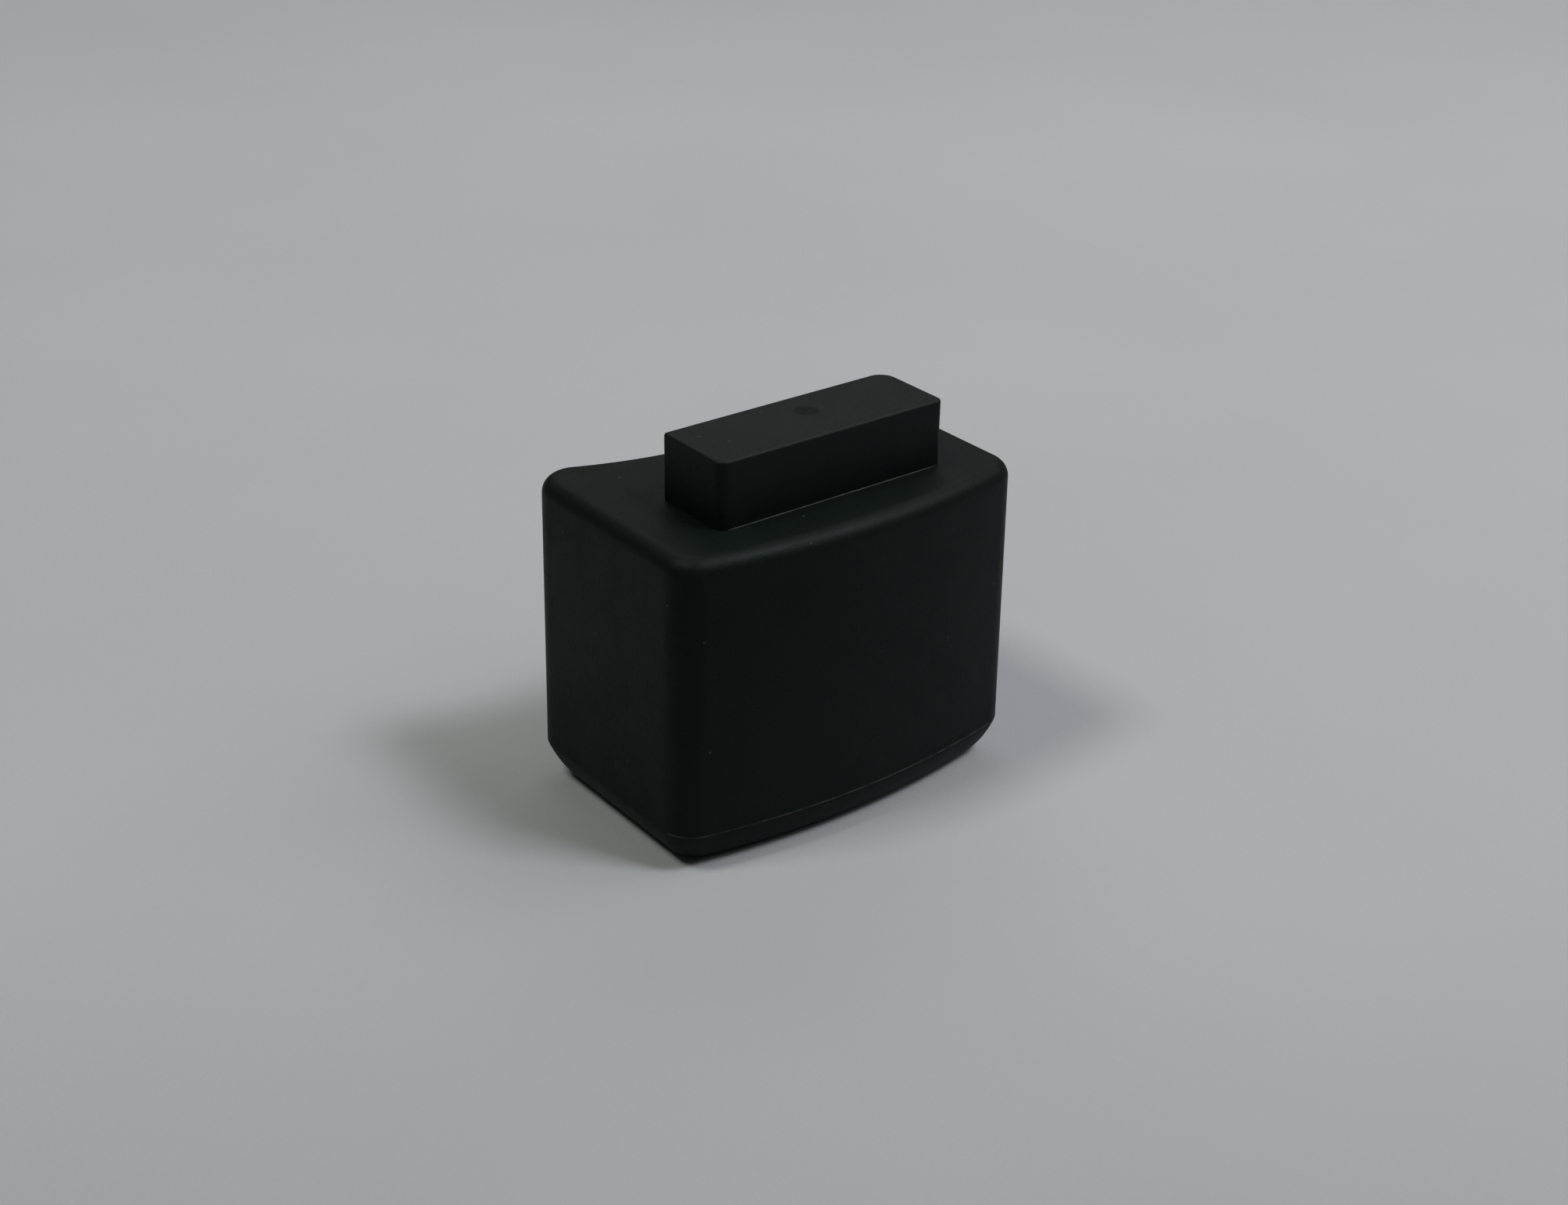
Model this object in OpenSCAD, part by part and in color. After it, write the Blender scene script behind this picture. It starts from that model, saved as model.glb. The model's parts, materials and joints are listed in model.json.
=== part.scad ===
// Radio receiver for a studio flash: a small upright block with a convex front, a hollow
// back that sits against a round flash head, a mounting tongue on top, and its controls
// on the right end. The base cover carries the battery bay and the boards. Millimetres.

/* [Body] */
// Length of the body at half its height
body_w = 50; // [50:0.5:54]
// Height of the body without the tongue
body_h = 40; // [40:0.5:44]
// Depth from front to back at the middle of the length
mid_depth = 30; // [30:0.5:33]
// Radius of the convex front, seen from above
front_r = 100; // [90:5:200]
// Radius of the hollow back, seen from above
back_r = 50; // [50:1:80]
// Radius of the four upright corners
corner_r = 4.2; // [4.1:0.1:4.8]
// Rounding along the top edge
top_round = 2; // [1:0.25:2.5]
// How much narrower each end is at the top than at the base
end_taper = 0.6; // [0:0.1:0.8]
// Thickness of the side walls
wall = 2.2; // [2:0.1:2.4]
// Thickness of the top wall
top_wall = 4; // [3.5:0.25:4.5]

/* [Base cover] */
// Height of the seam between housing and base cover
seam_z = 4.9; // [4.5:0.1:5.5]
// How far the lip curves in under the body
lip_in = 3.9; // [3.2:0.1:4]
// How far in the lip's curve starts to flatten
lip_bend = 1.8; // [1:0.1:2.4]
// Thickness of the bottom plate
base_t = 2.6; // [2.5:0.1:3]
// Height of the locating rim above the seam
rim_h = 3.4; // [2:0.2:4]
// Thickness of the locating rim
rim_t = 1.4; // [1:0.1:1.6]

/* [Tongue] */
// Length of the tongue
tongue_l = 32.4; // [28:0.2:33]
// Depth of the tongue
tongue_d = 11; // [9:0.2:11.4]
// Height of the tongue above the body
tongue_h = 8.4; // [4:0.2:12]
// Radius of the tongue's upright corners
tongue_r = 1.5; // [1:0.1:2]
// Middle of the tongue, in front of the middle of the base
tongue_y = -4; // [-4.5:0.1:-3.5]
// Thickness of the flange that holds the tongue under the top wall
flange_t = 2; // [1.5:0.1:2]

/* [Battery] */
// Diameter of the lithium cell
cell_d = 15.6; // [15.4:0.1:15.8]
// Length of the lithium cell
cell_l = 27; // [26.6:0.1:27.2]
// Middle of the cell, in front of the middle of the base
cell_y = -1; // [-1.2:0.1:-0.8]
// Length of the compressed contact spring
spring_l = 2.8; // [2.6:0.1:3]
// Thickness of the battery contacts
contact_t = 0.4; // [0.3:0.05:0.5]
// Thickness of the battery door
door_t = 1.6; // [1.4:0.1:1.7]

/* [Controls] */
// Middle of the row of controls on the right end
row_y = 1; // [0.5:0.1:1.5]
// Height of the sync socket
jack_z = 11.8; // [11.8:0.1:12]
// Height of the power knob's off position
knob_z = 18.6; // [18.4:0.1:18.8]
// Height of the test button
button_z = 27.2; // [27:0.1:27.4]
// Height of the status light
light_z = 32.2; // [32:0.1:32.2]
// Radius of the sync socket's hole
jack_r = 1.3; // [1.25:0.05:1.4]
// Radius of the test button
button_r = 2.6; // [2:0.1:2.8]
// Travel of the power knob
knob_travel = 2; // [1.5:0.1:2.2]
// Radius of the channel dial
dial_r = 2.7; // [2:0.1:3]
// Running gap around moving pieces
gap = 0.1; // [0.05:0.01:0.15]

/* [Boards] */
// Thickness of both circuit boards
board_t = 1.2; // [1:0.1:1.3]
// Height of the main board's underside
board_z = 21.5; // [21.2:0.1:21.6]
// Left face of the control board
panel_board_x = 13; // [12.9:0.1:13.1]

/* [Hidden] */
$fn = 48;
eps = 0.01;
through = 60;

// Plan of the body, counted from the middle of its base
corner_x = body_w / 2 - corner_r;
front_corner = front_r - sqrt(pow(front_r - corner_r, 2) - pow(corner_x, 2));
back_corner = mid_depth + back_r - sqrt(pow(back_r + corner_r, 2) - pow(corner_x, 2));
half_depth = (back_corner + corner_r) / 2;
front_turn = asin(corner_x / (front_r - corner_r));
back_turn = asin(corner_x / (back_r + corner_r));
arc_steps = 14;
corner_steps = 6;
round_steps = 4;
lip_steps = 6;

// Inner faces, rim and hooks
inner_x = body_w / 2 - wall;
rim_gap = 0.1;
rim_top = seam_z + rim_h;
hook_size = [0.5, 4, 1];
hook_root = 1;
hook_y = [-6, 6];
hook_z = 6.8;

// Screw posts at the control end
posts = [[17.5, -9.9], [17.5, 10.4]];
post_r = 2.1;
post_top = 16;
post_rib = 2;

// Screws and their holes
pilot_r = 0.85;
pilot_spare = 1;
fine_r = 0.7;
screw_free_r = 1.05;
screw_head_r = 1.8;
fine_head_r = 1.5;
head_h = 1.2;
head_recess = 1.8;
cover_screw_top = 12;
slot_w = 0.5;
slot_l = 1.2;

// Flange of the tongue
flange_end = 3.6;
flange_side = 2;
flange_l = tongue_l + 2 * flange_end;
flange_d = tongue_d + 2 * flange_side;
flange_low = body_h - top_wall - flange_t;
tongue_screw_x = tongue_l / 2 + 1.9;
tongue_screw_top = body_h - 1.4;

// Battery bay in the base cover
cell_r = cell_d / 2;
bay_fit = 0.3;
bay_wall = 1;
bay_l = cell_l + spring_l + 2 * contact_t;
bay_x = -18.7;
bay_end = bay_x + bay_l;
bay_r = cell_r + bay_fit;
cell_z = door_t + 0.6 + cell_r;
bay_top = cell_z + bay_r + bay_wall;
nub_l = 1;
nub_r = 2.6;

// Battery contacts and the spring under the cell
contact_w = 11.6;
contact_top = 16.6;
contact_slot = contact_t + 0.2;
tab_w = 1.4;
positive_tab_y = 3.6;
negative_tab_y = -6.4;
tab_top = board_z + board_t + 0.4;
spring_wire = 0.3;
spring_turns = 3;
spring_r = [2.2, 3.4];
wire_sides = 8;

// Battery door
door_edge = 0.6;
door_fit = 0.15;
door_rail = 0.8;
door_rail_z = 0.75;
door_x = [bay_x - door_edge, bay_end + door_edge];
door_y = cell_y - bay_r - door_edge;
grips = 4;
grip_l = 12;
grip_pitch = 1.6;
grip_w = 0.8;
grip_depth = 0.4;

// Main board
board_x = [bay_x - bay_wall, bay_end + 0.7];
board_y = around(cell_y, 2 * (bay_r + bay_wall));
board_top = board_z + board_t;
board_holes = [[-18.6, 6.5], [10.2, -8.5], [10.2, 6.5]];
board_screw_low = cell_z + 7.5;
boss_r = 1.7;

// Radio module and its shield can
module_x = [-20, -6.2];
module_y = [-9.8, 2.2];
module_t = 0.8;
can_inset = 1.2;
can_h = 2;
can_wall = 0.3;

// Antenna coil
coil_x = [-15.5, -5.5];
coil_y = 5.6;
coil_r = 2;
coil_turns = 6;
coil_wire = 0.35;

// Microcontroller
controller_x = [-5.2, 1.8];
controller_y = [-8.8, -1.8];
controller_h = 1.2;
legs = 6;
leg_size = [0.4, 0.8, 0.3];

// Crystal
crystal_size = [7.2, 3, 2.6];
crystal_at = [4.8, 3.2];

// Reservoir capacitor
capacitor_at = [6, -7.2];
capacitor_r = 2.5;
capacitor_h = 7;
groove = 0.3;
groove_z = 1.1;

// Trigger thyristor
thyristor_at = [5.6, -1.6];
thyristor_r = 2.2;
thyristor_h = 4.6;
thyristor_flat = 1;
lead_l = 1.5;
lead_r = 0.25;
lead_pitch = 1.27;

// Chip components
chip_size = [1.6, 0.8, 0.5];
chip_at = [-4.6, -0.6];
chip_pitch = [2.4, 1.7];
chip_rows = [2, 5];

// Channel switch and its dial
dial_body = 7;
dial_body_y = [5, 8.8];
dial_x = 5;
dial_z = board_top + dial_body / 2;
dial_y = [8.2, 10.2];
dial_window = dial_r - 0.3;
dial_slot = 0.8;
dial_mark_r = 0.45;
dial_mark_depth = 0.3;

// Pin header between the two boards
header_x = 9.2;
header_w = 2.4;
header_h = 2.5;
header_pitch = 2.54;
header_pins = 4;
header_end = 1.2;
header_y = -4.2;
header_z = board_top + header_h / 2;
pin_r = 0.3;
pin_hole_r = 0.35;

// Control board
row_x = panel_board_x + board_t;
control_y = [-8, 8.6];
control_z = [base_t, 33.6];
control_rib = [0.9, 1.6];

// End panel
panel_x = 24.7;
panel_t = 1.2;
panel_y = [-8.6, 10.8];
panel_z = [7.4, 36];
panel_ledge = 1.6;
panel_corner = 2;
panel_gap = 0.1;
control_front = panel_x - 0.1;
jack_hole_r = jack_r + 1.4;

// Sync socket
jack_body = 6.6;
jack_front = 22.6;
jack_board_gap = 0.2;

// Power switch and its knob
switch_d = 3.8;
switch_l = 8.2;
switch_t = 3.6;
knob_stem = 1.6;
stem_depth = 1.2;
knob_flange_x = [22, 22.8];
knob_flange = [4.2, 5.4];
knob_size = [2.6, 3];
knob_slot = 2 * gap;
knob_groove = 0.4;
knob_groove_depth = 0.3;
knob_groove_pitch = 0.9;

// Test switch and its button
test_body = 6;
test_t = 3.5;
test_front = row_x + test_t;
plunger_r = 1.5;
plunger_out = 1.1;
plunger_in = 0.9;
plunger_hole = 1.5;
plunger_tip = test_front + plunger_out;
button_stem_r = 1.2;
button_flange_r = 3.4;
button_flange_x = [22, 22.9];

// Status light and light pipe
led_r = 1.5;
led_front = 19;
led_rim = [1.7, 1];
light_r = 1.4;
pipe_back = 19.4;
pipe_collar = [0.5, 0.8];

// Colours
black_rubber = [0.05, 0.06, 0.06];
black_plastic = [0.08, 0.08, 0.09];
board_green = [0.05, 0.28, 0.14];
steel = [0.72, 0.73, 0.75];
gold = [0.80, 0.64, 0.28];
chip_black = [0.12, 0.12, 0.13];

// The two ends of a span of a given width around its middle
function around(middle, width) = [middle - width / 2, middle + width / 2];

// Points of an arc, without its last one
function arc(centre, r, from, to, steps) =
    [for (i = [0:steps - 1]) let (a = from + (to - from) * i / steps)
        centre + r * [cos(a), sin(a)]];

// Outline of the body seen from above, moved inwards by inset
function plan(inset) = let (
    shift = -half_depth,
    r = corner_r - inset,
    front = [0, front_r + shift],
    back = [0, mid_depth + back_r + shift],
    front_right = [corner_x, front_corner + shift],
    back_right = [corner_x, back_corner + shift],
    front_left = [-corner_x, front_corner + shift],
    back_left = [-corner_x, back_corner + shift])
    concat(
        arc(front, front_r - inset, -90 - front_turn, -90 + front_turn, arc_steps),
        arc(front_right, r, -90 + front_turn, 0, corner_steps), [front_right + [r, 0]],
        arc(back_right, r, 0, 90 + back_turn, corner_steps),
        arc(back, back_r + inset, -90 + back_turn, -90 - back_turn, arc_steps),
        arc(back_left, r, 90 - back_turn, 180, corner_steps), [back_left - [r, 0]],
        arc(front_left, r, 180, 270 - front_turn, corner_steps));

// The same outline at a height, with the ends tapered
function ring(inset, z) = let (
    taper = 1 + end_taper * (0.5 - z / body_h) / (body_w / 2))
    [for (p = plan(inset)) [p[0] * taper, p[1], z]];

// Rings of the lip from the seam, t = 0, down to the base, and of the rounded top edge
function lip_ring(t) =
    ring(2 * t * (1 - t) * lip_bend + t * t * lip_in, (1 - t) * (1 - t) * seam_z);

function top_ring(a) =
    ring(top_round * (1 - cos(a)), body_h - top_round * (1 - sin(a)));

// Rings of a round wire wound along X, from radius r0 to r1
function wire_rings(x0, x1, r0, r1, turns, wire, per_turn) =
    [for (i = [0:turns * per_turn]) let (
        k = i / (turns * per_turn),
        a = -90 + 360 * turns * k,
        r = r0 + (r1 - r0) * k,
        x = x0 + (x1 - x0) * k)
        [for (j = [0:wire_sides - 1]) let (b = 360 * j / wire_sides)
            [x + wire * sin(b), (r + wire * cos(b)) * cos(a), (r + wire * cos(b)) * sin(a)]]];

module skin(rings) {
    n = len(rings[0]);
    m = len(rings);
    polyhedron(
        points = [for (r = rings) each r],
        faces = concat(
            [[for (i = [0:n - 1]) i]],
            [for (k = [0:m - 2]) for (i = [0:n - 1]) let (j = (i + 1) % n)
                each [[k * n + i, (k + 1) * n + i, (k + 1) * n + j],
                      [k * n + i, (k + 1) * n + j, k * n + j]]],
            [[for (i = [n - 1:-1:0]) (m - 1) * n + i]]),
        convexity = 6);
}

module plan_prism(inset, z0, z1) {
    translate([0, 0, z0]) linear_extrude(z1 - z0) polygon(plan(inset));
}

module block(x, y, z) {
    translate([x[0], y[0], z[0]]) cube([x[1] - x[0], y[1] - y[0], z[1] - z[0]]);
}

module rounded(l, d, r) {
    union() {
        square([l - 2 * r, d], center = true);
        square([l, d - 2 * r], center = true);
        for (x = [-1, 1], y = [-1, 1])
            translate([x * (l / 2 - r), y * (d / 2 - r)]) circle(r);
    }
}

module along_x(x, y, z) {
    translate([x, y, z]) rotate([0, 90, 0]) children();
}

module along_y(x, y, z) {
    translate([x, y, z]) rotate([-90, 0, 0]) children();
}

// A screw with its head's outer face at z = 0 and its shaft along +Z
module screw(shaft_r, head_r, top) {
    difference() {
        union() {
            cylinder(r = head_r, h = head_h);
            cylinder(r = shaft_r, h = top);
        }
        for (turn = [0, 90]) rotate(turn)
            translate([-head_r * slot_l / 2, -slot_w / 2, -eps])
                cube([head_r * slot_l, slot_w, head_h / 2]);
    }
}

module lip_solid() {
    skin([for (i = [0:lip_steps]) lip_ring(1 - i / lip_steps)]);
}

// A hook on the locating rim's left end, or with a fit the pocket that takes it
module hook_block(y, fit) {
    block([-inner_x - hook_size[0] - fit, hook_root - inner_x],
        around(y, hook_size[1] + 2 * fit), around(hook_z, hook_size[2] + 2 * fit));
}

module housing_shell() {
    difference() {
        skin(concat([ring(0, seam_z)],
            [for (i = [0:round_steps]) top_ring(90 * i / round_steps)]));
        plan_prism(wall, seam_z - 1, body_h - top_wall);
    }
}

module housing() {
    color(black_rubber) difference() {
        union() {
            housing_shell();
            intersection() {
                for (p = posts) {
                    translate([p[0], p[1], seam_z + gap])
                        cylinder(r = post_r, h = post_top - seam_z);
                    block([p[0], inner_x + eps], around(p[1], post_rib),
                        [rim_top + gap, post_top]);
                }
                plan_prism(wall / 2, 0, body_h);
            }
        }
        for (p = posts) translate([p[0], p[1], 0])
            cylinder(r = pilot_r, h = cover_screw_top + pilot_spare);
        translate([0, tongue_y, body_h - top_wall - eps]) linear_extrude(through)
            rounded(tongue_l + 2 * panel_gap, tongue_d + 2 * panel_gap, tongue_r);
        for (x = [-1, 1]) translate([x * tongue_screw_x, tongue_y, 0])
            cylinder(r = fine_r, h = tongue_screw_top);
        for (y = hook_y) hook_block(y, gap);
        panel_prism(panel_gap, panel_x - panel_t, through);
        panel_prism(-panel_ledge, inner_x - 1, through);
        along_y(dial_x, 0, dial_z) cylinder(r = dial_window, h = through);
    }
}

module tongue() {
    color(black_rubber) difference() {
        union() {
            translate([0, tongue_y, flange_low])
                linear_extrude(flange_t) rounded(flange_l, flange_d, tongue_r);
            translate([0, tongue_y, body_h - top_wall - eps])
                linear_extrude(top_wall + tongue_h) rounded(tongue_l, tongue_d, tongue_r);
        }
        for (x = [-1, 1]) translate([x * tongue_screw_x, tongue_y, 0])
            cylinder(r = fine_r + gap, h = body_h - top_wall);
    }
}

module tongue_screws() {
    low = flange_low - head_h;
    color(steel) for (x = [-1, 1]) translate([x * tongue_screw_x, tongue_y, low])
        screw(fine_r, fine_head_r, tongue_screw_top - low);
}

// The end panel's rounded plate, grown by grow, from x0 to x1
module panel_prism(grow, x0, x1) {
    along_x(x0, (panel_y[0] + panel_y[1]) / 2, (panel_z[0] + panel_z[1]) / 2)
        linear_extrude(x1 - x0)
            rounded(panel_z[1] - panel_z[0] + 2 * grow, panel_y[1] - panel_y[0] + 2 * grow,
                panel_corner);
}

module end_panel() {
    x0 = panel_x - panel_t;
    color(black_plastic) difference() {
        panel_prism(0, x0, panel_x);
        along_x(x0 - eps, row_y, jack_z) cylinder(r = jack_hole_r, h = through);
        along_x(x0 - eps, row_y, button_z) cylinder(r = button_r + gap, h = through);
        along_x(x0 - eps, row_y, light_z) cylinder(r = light_r, h = through);
        block([x0 - eps, through], around(row_y, knob_size[0] + 2 * gap),
            around(knob_z, knob_size[1] + 2 * knob_slot) + [0, knob_travel]);
    }
}

module door_slot(fit) {
    block(door_x + [-fit, fit], [door_y - fit, through], [-1, door_t + fit / 2]);
    block(door_x + [-1, 1] * (door_rail + fit), [door_y - fit, through],
        [door_rail_z - fit / 2, door_t + fit / 2]);
}

module bay_hollow() {
    along_x(bay_x, cell_y, cell_z) cylinder(r = bay_r, h = bay_l);
    block([bay_x, bay_end], around(cell_y, 2 * bay_r), [-1, cell_z]);
    for (x = [bay_x, bay_end - contact_slot])
        block([x, x + contact_slot], around(cell_y, contact_w + 2 * gap), [0, contact_top + gap]);
    block([bay_x, bay_x + contact_slot], around(positive_tab_y, tab_w + 2 * gap),
        [cell_z, through]);
    block([bay_end - contact_slot, bay_end], around(negative_tab_y, tab_w + 2 * gap),
        [cell_z, through]);
}

module base_cover() {
    color(black_rubber) difference() {
        union() {
            difference() {
                lip_solid();
                plan_prism(wall + rim_gap + rim_t, base_t, through);
            }
            translate([0, 0, seam_z - eps]) linear_extrude(rim_h + eps) difference() {
                polygon(plan(wall + rim_gap));
                polygon(plan(wall + rim_gap + rim_t));
                for (p = posts) translate(p) circle(post_r + 2 * gap);
            }
            for (y = hook_y) hook_block(y, 0);
            block([bay_x - bay_wall, bay_end + bay_wall], board_y, [base_t - eps, bay_top]);
            for (p = board_holes) translate([p[0], p[1], base_t])
                cylinder(r = boss_r, h = board_z - base_t);
            for (p = posts) translate([p[0], p[1], base_t - eps])
                cylinder(r = post_r, h = seam_z - base_t);
            for (y = control_y)
                block([panel_board_x - control_rib[0], row_x + control_rib[0]],
                    around(y, control_rib[1]), [base_t - eps, rim_top]);
        }
        bay_hollow();
        door_slot(door_fit);
        for (p = posts) translate([p[0], p[1], 0]) {
            translate([0, 0, -1]) cylinder(r = screw_head_r + gap, h = head_recess + 1);
            cylinder(r = screw_free_r, h = through);
        }
        for (p = board_holes) translate([p[0], p[1], board_screw_low - pilot_spare / 2])
            cylinder(r = fine_r, h = through);
        block([panel_board_x - gap / 2, row_x + gap / 2], control_y, [base_t, through]);
    }
}

module cover_screws() {
    color(steel) for (p = posts) translate([p[0], p[1], head_recess - head_h])
        screw(pilot_r, screw_head_r, cover_screw_top - head_recess + head_h);
}

module battery_door() {
    color(black_rubber) difference() {
        intersection() {
            lip_solid();
            union() {
                block(door_x, [door_y, through], [-1, door_t]);
                block(door_x + [-1, 1] * door_rail, [door_y, through], [door_rail_z, door_t]);
            }
        }
        for (i = [0:grips - 1]) block(around(bay_x + bay_l / 2, grip_l),
            around(cell_y + bay_r - i * grip_pitch, grip_w), [-1, grip_depth]);
    }
}

module battery_cell() {
    x0 = bay_x + contact_t;
    color([0.75, 0.55, 0.20]) along_x(x0 + nub_l, cell_y, cell_z)
        cylinder(r = cell_r, h = cell_l - nub_l);
    color(steel) along_x(x0, cell_y, cell_z) cylinder(r = nub_r, h = nub_l + eps);
}

// A contact plate with a soldered tab up through the main board
module contact(x, tab_y) {
    block([x, x + contact_t], around(cell_y, contact_w), [base_t + gap, contact_top]);
    block([x, x + contact_t], around(tab_y, tab_w), [contact_top - eps, tab_top]);
}

module positive_contact() {
    color(gold) contact(bay_x, positive_tab_y);
}

module negative_contact() {
    color(gold) contact(bay_end - contact_t, negative_tab_y);
}

module negative_spring() {
    x0 = bay_x + contact_t + cell_l + spring_wire;
    color(steel) translate([0, cell_y, cell_z])
        skin(wire_rings(x0, x0 + spring_l - 2 * spring_wire, spring_r[0], spring_r[1],
            spring_turns, spring_wire, 16));
}

module main_board() {
    color(board_green) difference() {
        block(board_x, board_y, [board_z, board_top]);
        for (p = board_holes) translate([p[0], p[1], 0]) cylinder(r = fine_r + gap, h = through);
        block([bay_x - gap, bay_x + contact_t + gap], around(positive_tab_y, tab_w + 2 * gap),
            [0, through]);
        block([bay_end - contact_t - gap, bay_end + gap], around(negative_tab_y, tab_w + 2 * gap),
            [0, through]);
    }
}

module board_screws() {
    color(steel) for (p = board_holes) translate([p[0], p[1], board_top + head_h])
        mirror([0, 0, 1]) screw(fine_r, fine_head_r, board_top + head_h - board_screw_low);
}

module radio_module() {
    color([0.04, 0.16, 0.36]) block(module_x, module_y, [board_top, board_top + module_t]);
}

module shield_can() {
    z0 = board_top + module_t;
    color(steel) difference() {
        block(module_x + [1, -1] * can_inset, module_y + [1, -1] * can_inset, [z0, z0 + can_h]);
        block(module_x + [1, -1] * (can_inset + can_wall),
            module_y + [1, -1] * (can_inset + can_wall), [z0 - 1, z0 + can_h - can_wall]);
    }
}

module antenna_coil() {
    color(gold) translate([0, coil_y, board_top + coil_r + coil_wire])
        skin(wire_rings(coil_x[0], coil_x[1], coil_r, coil_r, coil_turns, coil_wire, 14));
}

module microcontroller() {
    color(chip_black) block(controller_x, controller_y, [board_top, board_top + controller_h]);
    leg_pitch = (controller_x[1] - controller_x[0]) / (legs + 1);
    color(steel) for (i = [1:legs])
        block(around(controller_x[0] + i * leg_pitch, leg_size[0]),
            controller_y + [-1, 1] * leg_size[1], [board_top, board_top + leg_size[2]]);
}

module crystal() {
    color(steel) translate([crystal_at[0], crystal_at[1], board_top])
        linear_extrude(crystal_size[2])
            rounded(crystal_size[0], crystal_size[1], crystal_size[1] / 2 - eps);
}

module reservoir_capacitor() {
    color([0.10, 0.16, 0.35]) translate([capacitor_at[0], capacitor_at[1], board_top])
        rotate_extrude() polygon([[0, 0], [capacitor_r, 0], [capacitor_r, groove_z - groove],
            [capacitor_r - groove, groove_z], [capacitor_r, groove_z + groove],
            [capacitor_r, capacitor_h], [0, capacitor_h]]);
}

module trigger_thyristor() {
    translate([thyristor_at[0], thyristor_at[1], board_top]) {
        color(chip_black) translate([0, 0, lead_l]) difference() {
            cylinder(r = thyristor_r, h = thyristor_h);
            translate([-thyristor_r, thyristor_flat, -1])
                cube([2 * thyristor_r, thyristor_r, thyristor_h + 2]);
        }
        color(steel) for (x = [-1, 0, 1]) translate([x * lead_pitch, 0, 0])
            cylinder(r = lead_r, h = lead_l + eps);
    }
}

module chip_components() {
    color([0.55, 0.42, 0.30]) for (i = [0:chip_rows[0] - 1], j = [0:chip_rows[1] - 1])
        translate([chip_at[0] + i * chip_pitch[0], chip_at[1] + j * chip_pitch[1], board_top])
            cube(chip_size);
}

module channel_switch() {
    color([0.10, 0.22, 0.45]) difference() {
        block(around(dial_x, dial_body), dial_body_y, [board_top, board_top + dial_body]);
        along_y(dial_x, dial_y[0] - gap, dial_z) cylinder(r = dial_r + gap / 2, h = through);
    }
}

module channel_dial() {
    color([0.90, 0.90, 0.88]) difference() {
        along_y(dial_x, dial_y[0], dial_z) cylinder(r = dial_r, h = dial_y[1] - dial_y[0]);
        block(around(dial_x, slot_w), [dial_y[1] - dial_slot, through],
            around(dial_z, dial_r * 1.5));
        along_y(dial_x, dial_y[1] - dial_mark_depth, dial_z + dial_r)
            cylinder(r = dial_mark_r, h = through);
    }
}

module pin_header() {
    color(chip_black) block([header_x, header_x + header_w],
        [header_y - header_end, header_y + (header_pins - 1) * header_pitch + header_end],
        [board_top, board_top + header_h]);
    color(gold) for (i = [0:header_pins - 1])
        along_x(header_x + header_w - eps, header_y + i * header_pitch, header_z)
            cylinder(r = pin_r, h = row_x - header_x - header_w);
}

module control_board() {
    color(board_green) difference() {
        block([panel_board_x, row_x], control_y, control_z);
        for (i = [0:header_pins - 1]) along_x(0, header_y + i * header_pitch, header_z)
            cylinder(r = pin_hole_r, h = through);
        along_x(0, row_y, jack_z) cylinder(r = jack_r + jack_board_gap, h = through);
    }
}

module sync_jack() {
    color(chip_black) difference() {
        block([row_x, jack_front], around(row_y, jack_body), around(jack_z, jack_body));
        along_x(row_x - 1, row_y, jack_z) cylinder(r = jack_r, h = through);
    }
}

module power_switch() {
    middle = knob_z + knob_travel / 2;
    color(steel) difference() {
        block([row_x, row_x + switch_t], around(row_y, switch_d), around(middle, switch_l));
        block([row_x + switch_t - stem_depth - gap, through], around(row_y, knob_stem + 2 * gap),
            around(knob_z, knob_stem + 2 * gap) + [0, knob_travel]);
    }
}

module power_knob() {
    color([0.75, 0.76, 0.76]) difference() {
        union() {
            block([row_x + switch_t - stem_depth, knob_flange_x[0] + eps], around(row_y, knob_stem),
                around(knob_z, knob_stem));
            block(knob_flange_x, around(row_y, knob_flange[0]), around(knob_z, knob_flange[1]));
            block([knob_flange_x[1] - eps, control_front], around(row_y, knob_size[0]),
                around(knob_z, knob_size[1]));
        }
        for (i = [-1, 0, 1]) block([control_front - knob_groove_depth, through],
            around(row_y, 2 * knob_size[0]), around(knob_z + i * knob_groove_pitch, knob_groove));
    }
}

module test_switch() {
    color(chip_black) difference() {
        block([row_x, test_front], around(row_y, test_body), around(button_z, test_body));
        along_x(test_front - plunger_hole, row_y, button_z)
            cylinder(r = plunger_r + gap, h = through);
    }
}

module switch_plunger() {
    color([0.85, 0.86, 0.86]) along_x(test_front - plunger_in, row_y, button_z)
        cylinder(r = plunger_r, h = plunger_in + plunger_out);
}

module test_button() {
    color([0.62, 0.08, 0.07]) union() {
        along_x(plunger_tip, row_y, button_z)
            cylinder(r = button_stem_r, h = button_flange_x[0] - plunger_tip + eps);
        along_x(button_flange_x[0], row_y, button_z) intersection() {
            cylinder(r = button_flange_r, h = button_flange_x[1] - button_flange_x[0]);
            translate([-button_r, -button_flange_r, 0])
                cube([2 * button_r, 2 * button_flange_r, through]);
        }
        along_x(button_flange_x[1] - eps, row_y, button_z)
            cylinder(r = button_r, h = control_front - button_flange_x[1]);
    }
}

module status_led() {
    color([0.70, 0.85, 0.70]) union() {
        along_x(row_x, row_y, light_z) cylinder(r = led_rim[0], h = led_rim[1]);
        along_x(row_x, row_y, light_z) cylinder(r = led_r, h = led_front - row_x - led_r);
        translate([led_front - led_r, row_y, light_z]) sphere(led_r);
    }
}

module light_pipe() {
    color([0.85, 0.90, 0.88, 0.6]) union() {
        along_x(pipe_back, row_y, light_z) cylinder(r = light_r, h = control_front - pipe_back);
        along_x(panel_x - panel_t - pipe_collar[1], row_y, light_z)
            cylinder(r = light_r + pipe_collar[0], h = pipe_collar[1]);
    }
}

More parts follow.
